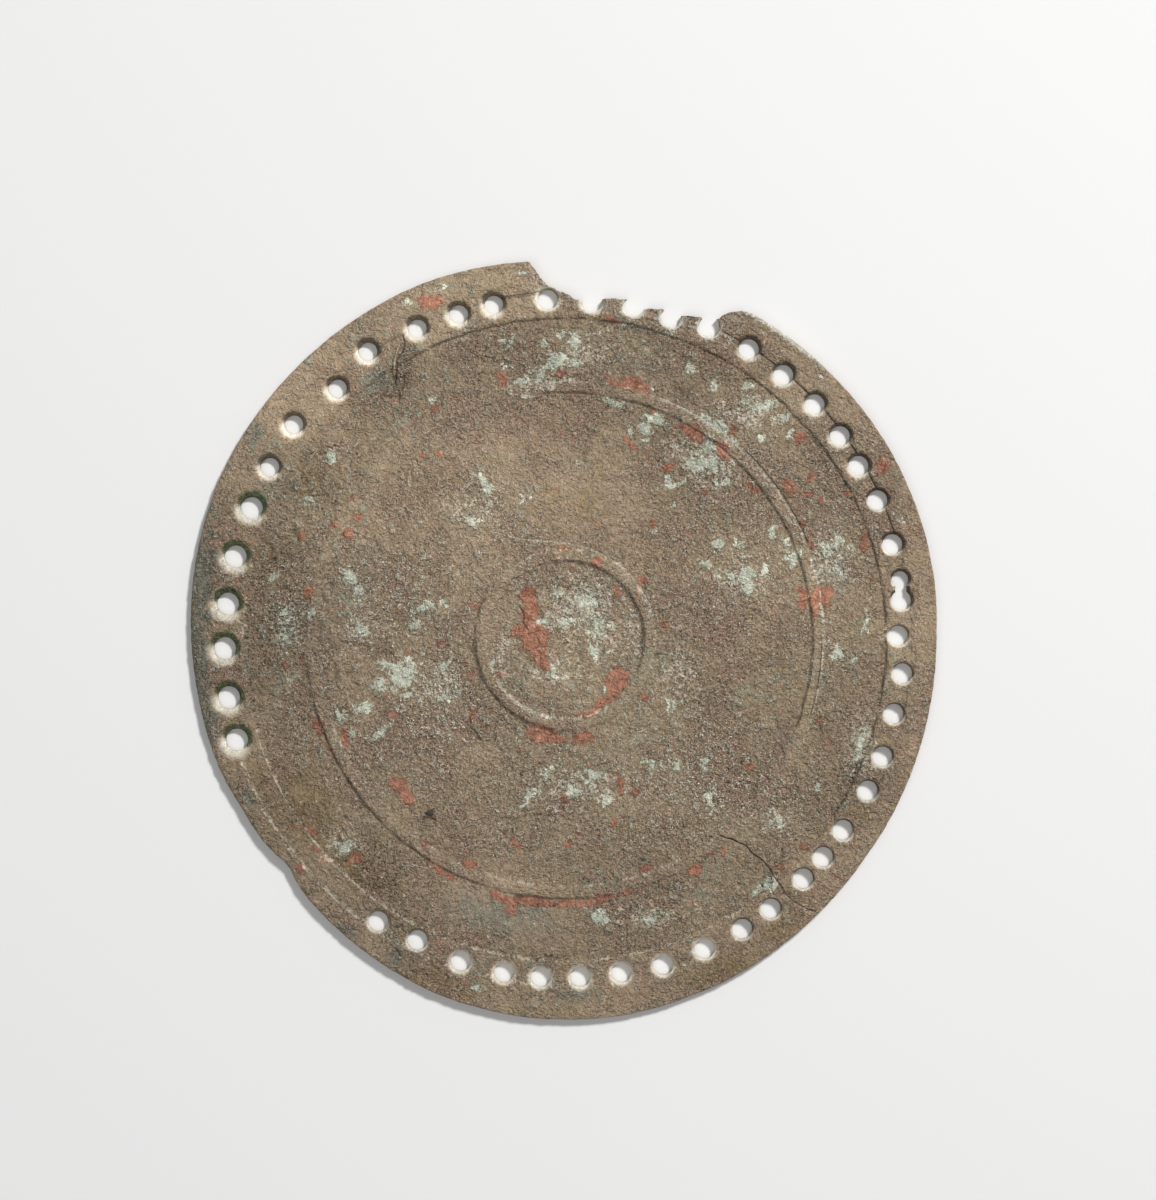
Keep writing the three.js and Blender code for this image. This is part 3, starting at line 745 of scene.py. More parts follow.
def patchShape(points, x, y, length, width, strength=1, turn=0):
    # the strength in the middle of a patch, half of it at its outline and 0 at twice its size
    across, along = math.sin(math.radians(turn)), math.cos(math.radians(turn))
    dx, dy = points[:, 0] - x, points[:, 1] - y
    u = (dx * along + dy * across) / (length / 2)
    v = (dy * along - dx * across) / (width / 2)
    return strength * (1 - 0.5 * np.hypot(u, v))


def patchWeight(points, placed):
    # the strongest of the patches at each point, from 0 to 1
    weight = np.zeros(len(points))
    for patch in placed:
        weight = np.maximum(weight, patchShape(points, *patch))
    return np.clip(weight, 0, 1)


def conesAt(points, holes):
    # height of the nearest countersink's cone; pale corrosion with painted highlight on the side towards the
    # key light, and painted shade on the side away from it
    height, closest = np.full((2, len(points)), mirrorForm["radius"])
    pale, dark = np.zeros(len(points)), np.zeros(len(points))
    base = countersinks["base"]
    for x, y, drilled, width, reach, darkness in holes:
        away = np.hypot(points[:, 0] - x, points[:, 1] - y) - drilled
        height = np.minimum(height, base + (mirrorForm["top"] - base) * away / width)
        # the side away from the key light gets painted shade, the other side pale corrosion with a painted
        # highlight
        towards = (points - (x, y)) @ polar(countersinks["holeShadeSide"], 1) / (away + drilled)
        shaded = np.clip(0.6 + towards, 0, 1) * darkness
        nearer = away < closest
        pale = np.where(nearer, np.clip(1 - away / reach, 0, 1) * (1 - shaded), pale)
        dark = np.where(nearer, np.clip(1.1 - away / width, 0, 1) * shaded, dark)
        closest = np.minimum(closest, away)
    return height, pale, dark


def crispness(points, table):
    # how crisp a shoulder still is at each point's bearing
    bearings, values = zip(*table)
    crisp = np.interp(bearingOf(points), bearings, values, period=360)
    return np.clip(crisp * (1 + mirrorForm["crispVariety"] * noiseAt(points, 3.0, 3, 43)), 0.03, 1)


def shouldersAt(points):
    # for each turned shoulder: the points' radius on circles that wander a little, its rise, its place,
    # its half width, its foot, its groove and how crisp it is at the points
    radius = np.hypot(*points.T) + mirrorForm["shoulderWander"] * noiseAt(points, 2.2, 3, 11)
    for place, rise, crispWidth, groove, table in mirrorForm["shoulders"]:
        foot = place - math.copysign(crispWidth, rise)
        yield radius, rise, place, crispWidth, foot, groove, crispness(points, table)


def turnedHeight(points):
    # the turned back: shoulders that are sharp or worn away by bearing, and the centre mark
    height = np.full(len(points), mirrorForm["field"])
    wornWidth = mirrorForm["wornWidth"]
    for radius, rise, place, crispWidth, foot, groove, crisp in shouldersAt(points):
        width = wornWidth + (crispWidth - wornWidth) * np.sqrt(crisp)
        height += rise * smoothStep(-1, 1, (radius - place) / width)
        height -= groove * crisp * np.exp(-((radius - foot) / mirrorForm["grooveWidth"]) ** 2)
    x, y, size, depth = mirrorForm["centreMark"]
    height -= depth * np.clip(1 - np.hypot(points[:, 0] - x, points[:, 1] - y) / size, 0, 1)
    return height


def shoulderShadeAndHighlight(points):
    # 1 in the painted shade on the sides of crisp shoulders that face away from the key light, and 1 in the
    # painted highlight on those that face it
    keySide = np.cos(np.radians(bearingOf(points) - mirrorForm["highlightBearing"]))
    paintedShade, paintedHighlight = np.zeros(len(points)), np.zeros(len(points))
    for radius, rise, place, crispWidth, foot, _, crisp in shouldersAt(points):
        side = keySide * math.copysign(1, rise)
        middle, reach = (place + foot) / 2, crispWidth * 1.05 + 0.1
        line = crisp * np.clip(1.15 - np.abs(radius - middle) / reach, 0, 1)
        # painted shade on the side of a shoulder that faces away from the key light
        paintedShade = np.maximum(paintedShade, line * smoothStep(0.4, -0.4, side))
        # painted highlight on the side of a shoulder that faces the key light
        line = crisp * np.clip(1.2 - np.abs(radius - place) / mirrorForm["highlightWidth"], 0, 1)
        paintedHighlight = np.maximum(paintedHighlight, line * smoothStep(0, 0.6, side))
    return paintedShade, paintedHighlight


def backHeights(points, distance, onEdge, holes, marks):
    # heights of the top's points; distance is from the nearest outline, and onEdge is false at drilled holes
    radius = np.hypot(*points.T)
    height = turnedHeight(points)
    rough = 1
    for name, change in relief["roughening"].items():
        rough = rough * (1 + change * marks[name])
    rough *= np.clip(0.9 + relief["patchShare"] * noiseAt(points, relief["patchSize"], 3, 91), 0.3, 1.5)
    for size, rise in (relief["swell"], relief["lumps"], relief["grains"]):
        height = height + rise * noiseAt(points, size, 3, size) * (rough if size < 5 else 1)
    pitted = np.clip(noiseAt(points, relief["pitSize"], 2, 31) - relief["pitShare"], 0, 0.4) / 0.4
    height -= relief["pitDepth"] * pitted * rough * (radius < relief["pitReach"])
    height += relief["flakeRise"] * smoothStep(*relief["flakeEdge"], marks["cuprite"])
    height += relief["crustRise"] * smoothStep(*relief["crustEdge"], marks["malachite"])
    height -= marks["cutDepth"]
    cone = conesAt(points, holes)[0] + countersinks["roughness"] * noiseAt(points, 0.8, 2, 3)
    height = smoothMin(height, cone, countersinks["blend"])
    worn = plateau(bearingOf(points), *mirrorForm["wornEdge"])
    outer = radius > mirrorForm["radius"] - 4
    cracked = np.abs(bearingOf(points) - mirrorForm["crackBearing"]) < 3
    broken = (radius < mirrorForm["radius"] - 3.2) | isBroken(points) | (cracked & (distance < 0.5))
    rounding = np.where(broken, mirrorForm["breakRounding"], mirrorForm["edgeRounding"])
    rounding = np.where(outer & ~broken, rounding + (mirrorForm["wornRounding"] - rounding) * worn, rounding)
    height = np.where(onEdge, height - roundedDrop(distance, rounding), height)
    return np.clip(height, mirrorForm["lowest"], mirrorForm["top"])


def isBroken(points):
    # along the lost stretch of the rim
    bearing = bearingOf(points)
    start, end = mirrorForm["broken"]
    return (bearing > start) & (bearing < end)


def surfaceMarks(points, holes):
    # the weights that the relief and the patina read, one number for each point
    uneven = warped(points)
    marks = {name: patchWeight(uneven, placed) for name, placed in patches.items()}
    marks["smooth"] = patchWeight(points, relief["smooth"])
    marks["speckled"] = patchWeight(points, relief["speckled"])
    paintedLineShade, fissureDepth = lineWeight(points, darkLines)
    scratchAndHighlight, scratchDepth = lineWeight(points, paleLines)
    marks["paintedLineShade"], marks["scratchAndHighlight"] = paintedLineShade, scratchAndHighlight
    marks["cutDepth"] = fissureDepth + scratchDepth
    marks["paintedShade"], marks["paintedHighlight"] = shoulderShadeAndHighlight(points)
    _, marks["paleAndHighlight"], marks["holeShadeSide"] = conesAt(points, holes)
    radius = np.hypot(*points.T)
    bearing = bearingOf(points)
    edge = [mirrorForm["radius"] - width for width in mirrorForm["edgeHighlightWidth"]]
    leftEdge = plateau(bearing, *mirrorForm["leftEdge"])
    marks["leftEdge"] = leftEdge * smoothStep(*mirrorForm["leftEdgeStart"], radius)
    marks["leftHoles"] = plateau(bearing, *mirrorForm["leftHoles"])
    marks["edgeHighlight"] = plateau(bearing, *mirrorForm["edgeHighlight"]) * smoothStep(*edge, radius)
    marks["broken"] = isBroken(points) * smoothStep(*mirrorForm["brokenPale"], radius)
    marks["rim"] = smoothStep(*mirrorForm["rimStart"], radius)
    fade = mirrorForm["ridgeFade"]
    marks["ridge"] = np.max([plateau(radius, inner, inner + fade, outer - fade, outer)
                             for inner, outer in mirrorForm["ridges"]], axis=0)
    return marks


def evenPoints(loops, tree, spacing, radii, gap, seed):
    # a grid over the bronze that keeps a gap from every outline
    grid = ringPoints(spacing, radii, seed)
    away, _ = nearest(tree, grid)
    grid = grid[away > gap]
    return grid[insideLoops(grid, loops)]


def edgeKinds(loops, holes):
    # for each outline point, whether it is an edge, and not the wall of a drilled hole
    points = np.concatenate(loops)
    onEdge = np.ones(len(points), bool)
    for x, y, drilled, *_ in holes:
        onEdge &= np.hypot(points[:, 0] - x, points[:, 1] - y) > drilled + countersinks["wallReach"]
    return onEdge


def buildTop(loops, tree, holes):
    rim = np.concatenate(loops)
    rimEdge = edgeKinds(loops, holes)
    rows, reach = edgeRows(loops, tree, mirrorForm["topRows"])
    spacing, gap = mirrorForm["spacing"], mirrorForm["topRows"][-1] + 0.2
    radii = turnedRadii(spacing, mirrorForm["gridReach"])
    grid = evenPoints(loops, tree, spacing, radii, gap, mirrorForm["gridSeeds"][0])
    cuts = linePoints(darkLines + paleLines)
    away, _ = nearest(tree, cuts)
    cuts = cuts[(away > 0.25) & insideLoops(cuts, loops)]
    grid = thinned(np.concatenate([cuts, grid]), len(cuts), mirrorForm["cutSpacing"])
    inside = insideLoops(rows, loops)
    points, faces = triangulated(loops, np.concatenate([rows[inside], grid]))
    away, index = nearest(tree, points[len(rim):])
    distance = np.concatenate([np.zeros(len(rim)), away])
    distance[len(rim): len(rim) + inside.sum()] = np.minimum(reach[inside], away[: inside.sum()])
    onEdge = np.concatenate([rimEdge, rimEdge[index]])
    marks = surfaceMarks(points, holes)
    height = backHeights(points, distance, onEdge, holes, marks)
    print("top:", len(points), "points,", len(faces), "triangles")
    return points, faces, height, marks


def buildUnderside(loops, tree, topMarks):
    rim = np.concatenate(loops)
    rows, _ = edgeRows(loops, tree, mirrorForm["undersideRows"])
    rows = rows[insideLoops(rows, loops)]
    spacing, gap = mirrorForm["undersideSpacing"], mirrorForm["undersideRows"][-1] + 0.5
    radii = np.arange(spacing, mirrorForm["gridReach"], spacing)
    grid = evenPoints(loops, tree, spacing, radii, gap, mirrorForm["gridSeeds"][1])
    points, faces = triangulated(loops, np.concatenate([rows, grid]))
    away, _ = nearest(tree, points[len(rim):])
    distance = np.concatenate([np.zeros(len(rim)), away])
    height = roundedDrop(distance, mirrorForm["undersideRounding"])
    uneven = np.clip(noiseAt(points, 2.5, 3, 17), 0, 1) * smoothStep(0, 1, distance)
    height += mirrorForm["undersideRoughness"] * uneven
    marks = {name: np.full(len(points), mirrorForm["undersideMarks"].get(name, 0.0)) for name in topMarks}
    print("underside:", len(points), "points,", len(faces), "triangles")
    return points, faces, height, marks


def buildMirror():
    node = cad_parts[mirrorForm["node"]]
    centre = turningCentre(node)
    loops = wornLoops(node, centre)
    holes = drilledHoles(loops)
    print("outlines:", len(loops), "holes:", len(holes))
    rim = np.concatenate(loops)
    tree = treeOf(rim)
    top, topFaces, topHeight, topMarks = buildTop(loops, tree, holes)
    under, underFaces, underHeight, underMarks = buildUnderside(loops, tree, topMarks)
    inward = np.concatenate([inwardNormals(loop) for loop in loops])
    rimCount = len(rim)
    wall, wallHeight = [], []
    for i, share in enumerate(mirrorForm["wallRows"]):
        bite = mirrorForm["wallBite"] * np.clip(0.3 + noiseAt(rim + 40 * i, 0.7, 3, 50 + i), 0, 1)
        wall.append(rim + inward * bite[:, None])
        wallHeight.append(topHeight[:rimCount] * (1 - share) + underHeight[:rimCount] * share)
    points = np.concatenate([top, *wall, under])
    heights = np.concatenate([topHeight, *wallHeight, underHeight])
    faces = [orient(top, topFaces, 1)]
    underStart = len(top) + rimCount * len(wall)
    faces.append(orient(under, underFaces, -1) + underStart)
    rowStarts = [0] + [len(top) + rimCount * i for i in range(len(wall))] + [underStart]
    start = 0
    for loop in loops:
        here = start + np.arange(len(loop))
        after = start + (np.arange(len(loop)) + 1) % len(loop)
        for upper, lower in zip(rowStarts, rowStarts[1:]):
            faces.append(np.stack([upper + here, lower + here, lower + after], 1))
            faces.append(np.stack([upper + here, lower + after, upper + after], 1))
        start += len(loop)
    faces = np.concatenate(faces)
    places = np.column_stack([points + centre, heights]) * mm
    mesh = bpy.data.meshes.new("mirror")
    mesh.vertices.add(len(places))
    mesh.vertices.foreach_set("co", places.astype(np.float32).ravel())
    mesh.loops.add(len(faces) * 3)
    mesh.loops.foreach_set("vertex_index", faces.astype(np.int32).ravel())
    mesh.polygons.add(len(faces))
    mesh.polygons.foreach_set("loop_start", np.arange(len(faces), dtype=np.int32) * 3)
    mesh.update(calc_edges=True)
    mesh.validate()
    mesh.polygons.foreach_set("use_smooth", np.ones(len(mesh.polygons), bool))
    for name in topMarks:
        rimValues = [topMarks[name][:rimCount]] * len(wall)
        values = np.concatenate([topMarks[name], *rimValues, underMarks[name]])
        layer = mesh.attributes.new(name, "FLOAT", "POINT")
        layer.data.foreach_set("value", values.astype(np.float32))
    mirror = bpy.data.objects.new("mirror", mesh)
    bpy.context.scene.collection.objects.link(mirror)
    print("mirror:", len(places), "points,", len(faces), "triangles")
    return mirror


def orient(points, faces, side):
    # triangles that all face up (side 1) or down (side -1)
    a, b, c = points[faces[:, 0]], points[faces[:, 1]], points[faces[:, 2]]
    area = (b[:, 0] - a[:, 0]) * (c[:, 1] - a[:, 1]) - (b[:, 1] - a[:, 1]) * (c[:, 0] - a[:, 0])
    flipped = faces[:, [0, 2, 1]]
    return np.where((area * side > 0)[:, None], faces, flipped)


# Patina

# Colours are linear RGB; sizes and heights are millimetres
patina = {
    "tan": (0.475, 0.355, 0.24),
    "rose": (0.43, 0.295, 0.21),
    "olive": (0.37, 0.28, 0.178),
    "brown": (0.29, 0.205, 0.125),
    "umber": (0.34, 0.215, 0.145),
    "ochre": (0.31, 0.22, 0.115),
    "slate": (0.23, 0.235, 0.19),
    "smudge": (0.2, 0.135, 0.1),
    "redStain": (0.45, 0.265, 0.19),
    "greenStain": (0.32, 0.335, 0.245),
    "greenBlack": (0.055, 0.068, 0.045),
    "cuprite": (0.49, 0.215, 0.135),
    "cupriteDark": (0.28, 0.11, 0.065),
    "malachite": (0.88, 0.92, 0.76),
    "malachiteDeep": (0.4, 0.46, 0.32),
    "lime": (0.9, 0.86, 0.71),
    # colour of painted shade
    "paintedShade": (0.06, 0.045, 0.03),
    # pale colour of real scratches and of painted highlights
    "pit": (0.1, 0.072, 0.045),
    "scratchAndHighlight": (0.7, 0.62, 0.49),
    # pale corrosion, and painted highlights on the countersinks and on the edge facing the key light
    "creamAndHighlight": (0.84, 0.79, 0.66),
    # painted shade in the countersinks: green from corrosion on the left holes, brown elsewhere
    "holeGreen": (0.075, 0.11, 0.04),
    "holeShadeBrown": (0.09, 0.07, 0.045),
    "ridge": (0.42, 0.33, 0.22),
    # size, seed, detail, twist and stretch of each noise
    "noises": {
        "fine": (0.22, 3), "fineToo": (0.22, 41), "grain": (0.48, 11, 2, 0.5), "grainToo": (0.48, 57),
        "lump": (1.2, 23, 3, 0.6), "lumpToo": (1.2, 71, 3, 0.6), "cloud": (4.0, 5, 4, 0.4),
        "cloudToo": (4.0, 83, 4), "broad": (14.0, 9, 3), "broadToo": (14.0, 97, 3),
        "streak": (0.5, 19, 2, 0, (0.15, 1, 1)), "wrinkle": (0.9, 29, 1, 1.2),
    },
    # how much each coat hides of what is under it, and its colour
    "coats": {
        "rose": (0.55, "rose"), "brown": (0.6, "brown"), "umber": (0.5, "umber"), "scales": (0.25, "brown"),
        "streaks": (0.35, "ochre"), "ochre": (0.8, "ochre"), "ridge": (0.15, "ridge"),
        "smudge": (0.7, "smudge"), "slate": (0.65, "slate"), "leftEdge": (0.7, "slate"),
        "leftDark": (0.8, "greenBlack"), "redStain": (0.4, "redStain"), "greenStain": (0.4, "greenStain"),
        "pits": (0.55, "pit"), "creases": (0.4, "pit"), "veil": (0.5, "lime"),
        # the darkest coats below paint shade on shoulders, lines and countersinks away from the key light;
        # the palest paint highlights on those facing it
        "halo": (0.3, "malachiteDeep"), "paintedShade": (0.58, "paintedShade"), "paintedLineShade": (0.75, "paintedShade"),
        "scratchAndHighlight": (0.7, "scratchAndHighlight"), "paintedHighlight": (0.8, "scratchAndHighlight"), "creamAndHighlight": (0.95, "creamAndHighlight"),
    },
    "cupriteCover": 0.88, "malachiteCover": 0.9, "hollowCover": 0.85,
    "tone": 1.02, "fineTone": 0.16, "grainTone": 0.14, "lumpTone": 0.1, "cloudTone": 0.02,
    "dustyTone": 0.3, "deepTone": 0.22, "patchyTone": 0.12,
    "fineRise": 0.052, "grainRise": 0.095, "lumpRise": 0.15, "scaleRise": 0.12, "creaseRise": 0.08,
    "wrinkleRise": 0.09, "pitRise": 0.1, "cupriteRise": 0.08, "limeRise": 0.05,
    "malachiteRise": 0.08, "powderRise": 0.02, "fissureRise": 0.08,
    "roughness": 0.8, "countersinkShine": 0.2, "malachiteDulling": 0.1, "rimShine": 0.05, "specular": 0.3,
}


class Wire:
    # one output of a shader tree: arithmetic on wires and numbers adds Math nodes

    def __init__(self, tree, socket=None):
        self.tree = tree
        self.socket = socket

    def node(self, kind, settings, sockets, output=0):
        # any node: its settings first, then the values or wires of its sockets
        made = self.tree.nodes.new(kind)
        for name, value in settings.items():
            setattr(made, name, value)
        for name, value in sockets.items():
            if isinstance(value, Wire):
                self.tree.links.new(value.socket, made.inputs[name])
            else:
                made.inputs[name].default_value = value
        return Wire(self.tree, made.outputs[output])

    def math(self, operation, first, second):
        return self.node("ShaderNodeMath", {"operation": operation}, {0: first, 1: second})

    def __add__(self, other):
        return self.math("ADD", self, other)

    def __sub__(self, other):
        return self.math("SUBTRACT", self, other)

    def __rsub__(self, other):
        return self.math("SUBTRACT", other, self)

    def __mul__(self, other):
        return self.math("MULTIPLY", self, other)

    __radd__ = __add__
    __rmul__ = __mul__

    def size(self):
        # the number without its sign
        return self.math("ABSOLUTE", self, 0)

    def scaled(self, amount):
        # a colour or a place made larger or smaller
        return self.node("ShaderNodeVectorMath", {"operation": "SCALE"}, {0: self, "Scale": amount})

    def between(self, low, high):
        # 0 below low, 1 above high, smooth in between
        settings = {"interpolation_type": "SMOOTHSTEP"}
        return self.node("ShaderNodeMapRange", settings, {"Value": self, "From Min": low, "From Max": high})

    def mixed(self, first, second):
        # colours mixed by this wire
        sockets = {0: self, 6: asColour(first), 7: asColour(second)}
        return self.node("ShaderNodeMix", {"data_type": "RGBA"}, sockets, 2)


def asColour(value):
    return value if isinstance(value, Wire) else (*value, 1)


def newMaterial(name):
    # an empty material with its shader, and a wire to build from
    material = bpy.data.materials.new(name)
    material.use_nodes = True
    tree = material.node_tree
    tree.nodes.clear()
    shader = tree.nodes.new("ShaderNodeBsdfPrincipled")
    output = tree.nodes.new("ShaderNodeOutputMaterial")
    tree.links.new(shader.outputs[0], output.inputs["Surface"])
    return material, shader, Wire(tree)


def patinatedBronze():
    material, shader, start = newMaterial("patinatedBronze")
    place = start.node("ShaderNodeTexCoord", {}, {}, "Object").scaled(1 / mm)

    def mark(name):
        return start.node("ShaderNodeAttribute", {"attribute_name": name}, {}, "Fac")

    def speckle(size, seed, detail=2, twist=0, stretch=(1, 1, 1)):
        # noise of that size: 0 on average, and mostly within -2 and 2
        settings = {"operation": "MULTIPLY_ADD"}
        moved = start.node("ShaderNodeVectorMath", settings, {0: place, 1: stretch, 2: (seed, 0, 0)})
        sockets = {"Vector": moved, "Scale": 1 / size, "Detail": detail, "Distortion": twist}
        return (start.node("ShaderNodeTexNoise", {}, {**sockets, "Roughness": 0.6}, "Fac") - 0.5) * 13

    def coated(colour, name, weight):
        # a colour with one of the coats over it
        cover, tint = patina["coats"][name]
        return (weight * cover).mixed(colour, patina[tint])

    fine, fineToo, grain, grainToo, lump, lumpToo, cloud, cloudToo, broad, broadToo, streak, wrinkle = [
        speckle(*settings) for settings in patina["noises"].values()]

    rim, speckled, crumpled = mark("rim"), mark("speckled"), mark("crumpled")
    patchy = (broadToo * 0.6 + lumpToo * 0.3 - cloud * 0.7).between(-1.6, 1.6)
    rough = (1 - mark("smooth") * 0.55) * (1 - rim * 0.25) * (1 - mark("ridge") * 0.2) * (1 + crumpled * 0.4)
    rough = rough * (0.55 + patchy * 0.95) * (1 - mark("paleAndHighlight").between(0, 0.6) * 0.75)

    # ground colour
    colour = ((cloud + broad * 0.7).between(-1.8, 1.8) * 0.75 + 0.1).mixed(patina["tan"], patina["olive"])
    colour = coated(colour, "rose", (cloudToo + broadToo).between(-0.4, 2))
    scales = (lump + cloud * 0.9 + grain * 0.25).between(0.25, 0.55)
    scalesToo = (lumpToo + cloudToo * 0.9 + fine * 0.2).between(0.5, 0.75)
    colour = coated(colour, "brown", (lump + cloud * 0.3).between(0.1, 2.2))
    colour = coated(colour, "umber", (lumpToo - broad * 0.5).between(0.6, 2.2))
    colour = coated(colour, "scales", scalesToo)
    colour = coated(colour, "streaks", (streak + lumpToo * 0.5).between(0.5, 2.2))
    ochre = mark("ochre") + lumpToo * 0.06 + cloud * 0.1
    colour = coated(colour, "ochre", ochre.between(0.2, 0.8))
    colour = coated(colour, "ridge", mark("ridge") * (lumpToo + cloud * 0.5).between(-1.2, 1.4))
    smudge = mark("smudge") + lump * 0.06 + cloud * 0.08
    colour = coated(colour, "smudge", smudge.between(0.3, 0.9))
    slate = mark("slate") + lump * 0.08 + grain * 0.06
    colour = coated(colour, "slate", slate.between(0.25, 0.65))
    leftEdge = (mark("leftEdge") + lump * 0.2 + grain * 0.1 - lumpToo * 0.12).between(0.45, 0.8)
    colour = coated(colour, "leftEdge", leftEdge)
    colour = coated(colour, "leftDark", leftEdge * (grain + fine * 0.6 + lumpToo * 0.6).between(0, 1))

    # faint red and green stains
    redStain = lumpToo * 0.7 + broadToo * 0.5 - cloud * 0.4
    colour = coated(colour, "redStain", redStain.between(0.7, 1.8))
    greenStain = lump * 0.7 + broad * 0.5 + cloudToo * 0.4
    colour = coated(colour, "greenStain", greenStain.between(0.7, 1.8))

    # pale and dark grains, creases between the scales, and pale veils
    pale = (fineToo + grainToo * 0.7 + lump * 0.5).between(1, 2.2) * (0.3 + speckled * 0.55) * rough
    colour = pale.mixed(colour, patina["lime"])
    pits = (grain * 0.8 + fine * 0.6 + lumpToo * 0.5).between(1.1, 2.2) * rough
    colour = coated(colour, "pits", pits)
    creased = (patchy * 1.3 - 0.3 + crumpled * 0.4).between(0, 1)
    creases = (1 - (lump + grain * 0.15).size().between(0, 0.16)) * creased
    colour = coated(colour, "creases", creases)
    veil = mark("veil") + lumpToo * 0.14 + grain * 0.12 + fine * 0.07
    colour = coated(colour, "veil", veil.between(0.45, 1))

    # red copper oxide
    stray = (lumpToo + cloudToo * 0.8 + grain * 0.4).between(2.7, 3.3) * 0.5
    cuprite = (mark("cuprite") + grain * 0.025 + lump * 0.04 + fine * 0.01).between(0.48, 0.54)
    flake = (fineToo * 0.6 + grainToo + lump).between(-0.8, 2.4)
    flake = flake.mixed(patina["cuprite"], patina["cupriteDark"])
    colour = (cuprite * patina["cupriteCover"] + stray * (1 - cuprite)).mixed(colour, flake)

    # pale green carbonate
    crust = mark("malachite") + (cloud * 0.7 + lumpToo * 0.8).between(0.8, 2.4) * speckled * 0.3
    malachite = (crust + grainToo * 0.05 + lumpToo * 0.07 + fineToo * 0.02).between(0.52, 0.6)
    powder = (fine + grain * 0.8 + lump * 0.4).between(-0.4, 2)
    powder = powder.mixed(patina["malachite"], patina["malachiteDeep"])
    powder = ((fineToo + lumpToo * 0.5).between(-0.1, 1.4) * 0.65).mixed(powder, patina["lime"])
    halo = (crust + grainToo * 0.14 + lumpToo * 0.08).between(0.3, 0.62) * (1 - malachite)
    colour = coated(colour, "halo", halo)
    colour = (malachite * (1 - cuprite * 0.8) * patina["malachiteCover"]).mixed(colour, powder)

    # painted shade and painted highlights on turned shoulders, lines, edges and countersinks, with real
    # cracks, scratches and pale corrosion among them
    # painted shade on the shoulders' sides away from the key light
    paintedShade = mark("paintedShade") + lump * 0.07 + grain * 0.06
    colour = coated(colour, "paintedShade", paintedShade.between(0.2, 0.75))
    # painted shade along cracks and along the dark turned lines
    paintedLineShade = (mark("paintedLineShade") + grain * 0.1).between(0.15, 0.8)
    colour = coated(colour, "paintedLineShade", paintedLineShade)
    # real scratches, and painted highlights along turned lines that face the key light
    scratchAndHighlight = mark("scratchAndHighlight") + grain * 0.08 + lump * 0.08
    colour = coated(colour, "scratchAndHighlight", scratchAndHighlight.between(0.25, 0.8))
    # painted highlight on the shoulders' sides that face the key light
    paintedHighlight = mark("paintedHighlight") + grain * 0.12 + lumpToo * 0.14
    colour = coated(colour, "paintedHighlight", paintedHighlight.between(0.25, 0.9))
    # painted highlights on the edge and countersinks that face the key light, with pale corrosion round the
    # holes and at the break
    paleMarksAndHighlights = mark("edgeHighlight") * 0.8 + mark("broken") * 0.25 + mark("paleAndHighlight")
    paleAndHighlight = (paleMarksAndHighlights + grain * 0.03 + lump * 0.05).between(0.05, 1)
    colour = coated(colour, "creamAndHighlight", paleAndHighlight)
    # painted shade on the countersinks' sides away from the key light
    hollow = mark("leftHoles").mixed(patina["holeShadeBrown"], patina["holeGreen"])
    holeShadeSide = (mark("holeShadeSide") + lump * 0.05 + grain * 0.03).between(0.2, 0.55)
    colour = (holeShadeSide * patina["hollowCover"]).mixed(colour, hollow)

    # uneven tone, from the finest grain to broad clouds
    calm = rough * (1 - cuprite * 0.5)
    tone = patina["tone"] + fine * patina["fineTone"] * calm + grain * patina["grainTone"] * calm
    tone = tone + lumpToo * patina["lumpTone"] + cloudToo * patina["cloudTone"]
    tone = tone + mark("dusty") * patina["dustyTone"] - mark("deep") * patina["deepTone"]
    colour = colour.scaled(tone + patchy * patina["patchyTone"])

    # relief finer than the mesh
    height = fine * patina["fineRise"] * calm + grain * patina["grainRise"] * calm
    height = height + lump * patina["lumpRise"] * rough - wrinkle.size() * patina["wrinkleRise"] * calm
    height = height + (scales + scalesToo) * patina["scaleRise"] * rough - creases * patina["creaseRise"]
    height = height - pits * patina["pitRise"] + cuprite * patina["cupriteRise"] + pale * patina["limeRise"]
    height = height + malachite * (patina["malachiteRise"] + fineToo * patina["powderRise"])
    height = height - paintedLineShade * patina["fissureRise"]
    normal = start.node("ShaderNodeBump", {}, {"Height": height, "Distance": mm, "Strength": 1})

    roughness = patina["roughness"] - paleAndHighlight * patina["countersinkShine"]
    roughness = roughness + malachite * patina["malachiteDulling"] - rim * patina["rimShine"]
    for socket, wire in (("Base Color", colour), ("Roughness", roughness), ("Normal", normal)):
        start.tree.links.new(wire.socket, shader.inputs[socket])
    shader.inputs["Specular IOR Level"].default_value = patina["specular"]
    return material


mirror = buildMirror()
mirror.data.materials.append(patinatedBronze())
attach(mirror, "root")
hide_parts(mirrorForm["node"])
print("mirror placed")


# Studio

# Metres, degrees and watts
studio = {
    "floor": 3.0,  # across
    "floorDrop": 0.00002,
    "floorColour": (0.82, 0.815, 0.805),
    "floorRoughness": 0.9,
    "keyBearing": 50, "keyHeight": 49, "keyDistance": 1.2, "keySize": 0.2, "keyPower": 12.4,
    "fillBearing": 230, "fillHeight": 65, "fillDistance": 1.2, "fillSize": 1.0, "fillPower": 3.0,
    "world": (0.95, 0.97, 1.0), "worldStrength": 0.24,
}

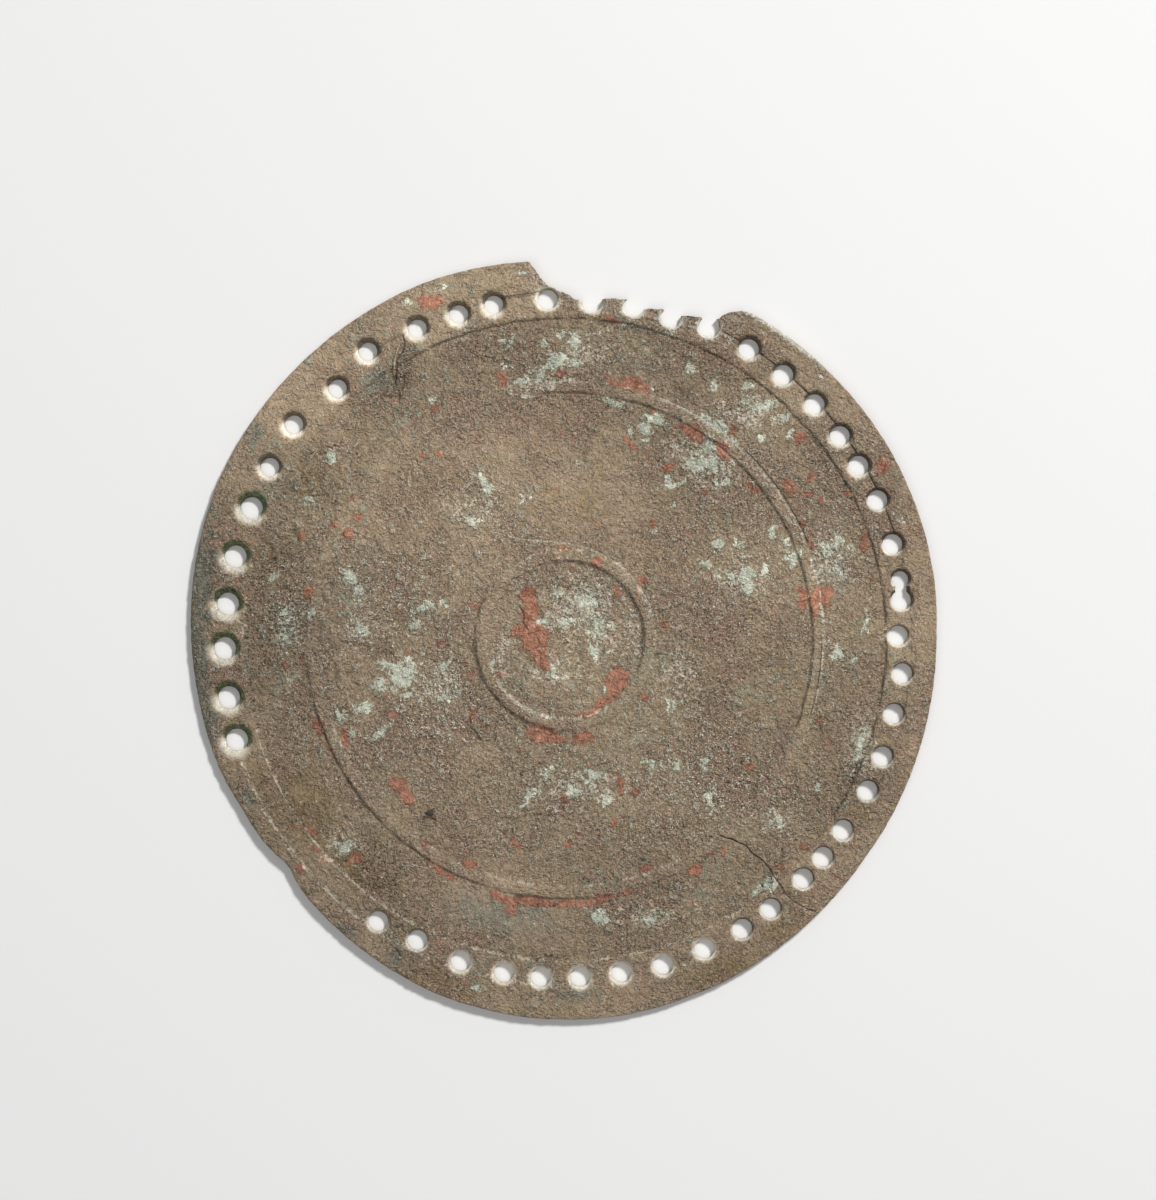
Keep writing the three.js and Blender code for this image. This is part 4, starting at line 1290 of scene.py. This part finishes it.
# The camera looks straight down; its frame is the photograph's, at the disc's back
cameraView = {"imageHeight": 180.0, "axis": (1.9, 5.9), "lens": 100.0, "sensor": 36.0, "clip": (0.01, 20)}


def areaLight(name, bearing, height, distance, size, power):
    data = bpy.data.lights.new(name, "AREA")
    data.shape = "DISK"
    data.size = size
    data.energy = power
    light = bpy.data.objects.new(name, data)
    flat = distance * math.cos(math.radians(height))
    light.location = (*polar(bearing, flat), distance * math.sin(math.radians(height)))
    light.rotation_euler = Vector(light.location).to_track_quat("Z", "Y").to_euler()
    bpy.context.scene.collection.objects.link(light)


def buildStudio():
    half = studio["floor"] / 2
    mesh = bpy.data.meshes.new("floor")
    corners = [(-half, -half), (half, -half), (half, half), (-half, half)]
    mesh.from_pydata([(x, y, -studio["floorDrop"]) for x, y in corners], [], [(0, 1, 2, 3)])
    floor = bpy.data.objects.new("floor", mesh)
    bpy.context.scene.collection.objects.link(floor)
    material, shader, _ = newMaterial("paleFloor")
    shader.inputs["Base Color"].default_value = (*studio["floorColour"], 1)
    shader.inputs["Roughness"].default_value = studio["floorRoughness"]
    mesh.materials.append(material)
    for name in ("key", "fill"):
        parts = ("Bearing", "Height", "Distance", "Size", "Power")
        areaLight(name, *(studio[name + part] for part in parts))
    world = bpy.data.worlds.new("studio")
    world.use_nodes = True
    background = world.node_tree.nodes["Background"]
    background.inputs["Color"].default_value = (*studio["world"], 1)
    background.inputs["Strength"].default_value = studio["worldStrength"]
    bpy.context.scene.world = world
    bpy.context.scene.view_settings.view_transform = "Standard"


def placeCamera():
    data = bpy.data.cameras.new("camera")
    data.lens = cameraView["lens"]
    data.sensor_width = cameraView["sensor"]
    data.clip_start, data.clip_end = cameraView["clip"]
    camera = bpy.data.objects.new("camera", data)
    centre = turningCentre(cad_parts[mirrorForm["node"]])
    distance = cameraView["imageHeight"] * cameraView["lens"] / cameraView["sensor"]
    x, y = centre + np.array(cameraView["axis"])
    camera.location = Vector((x, y, distance + mirrorForm["top"])) * mm
    bpy.context.scene.collection.objects.link(camera)
    bpy.context.scene.camera = camera


buildStudio()
placeCamera()
print("studio ready")
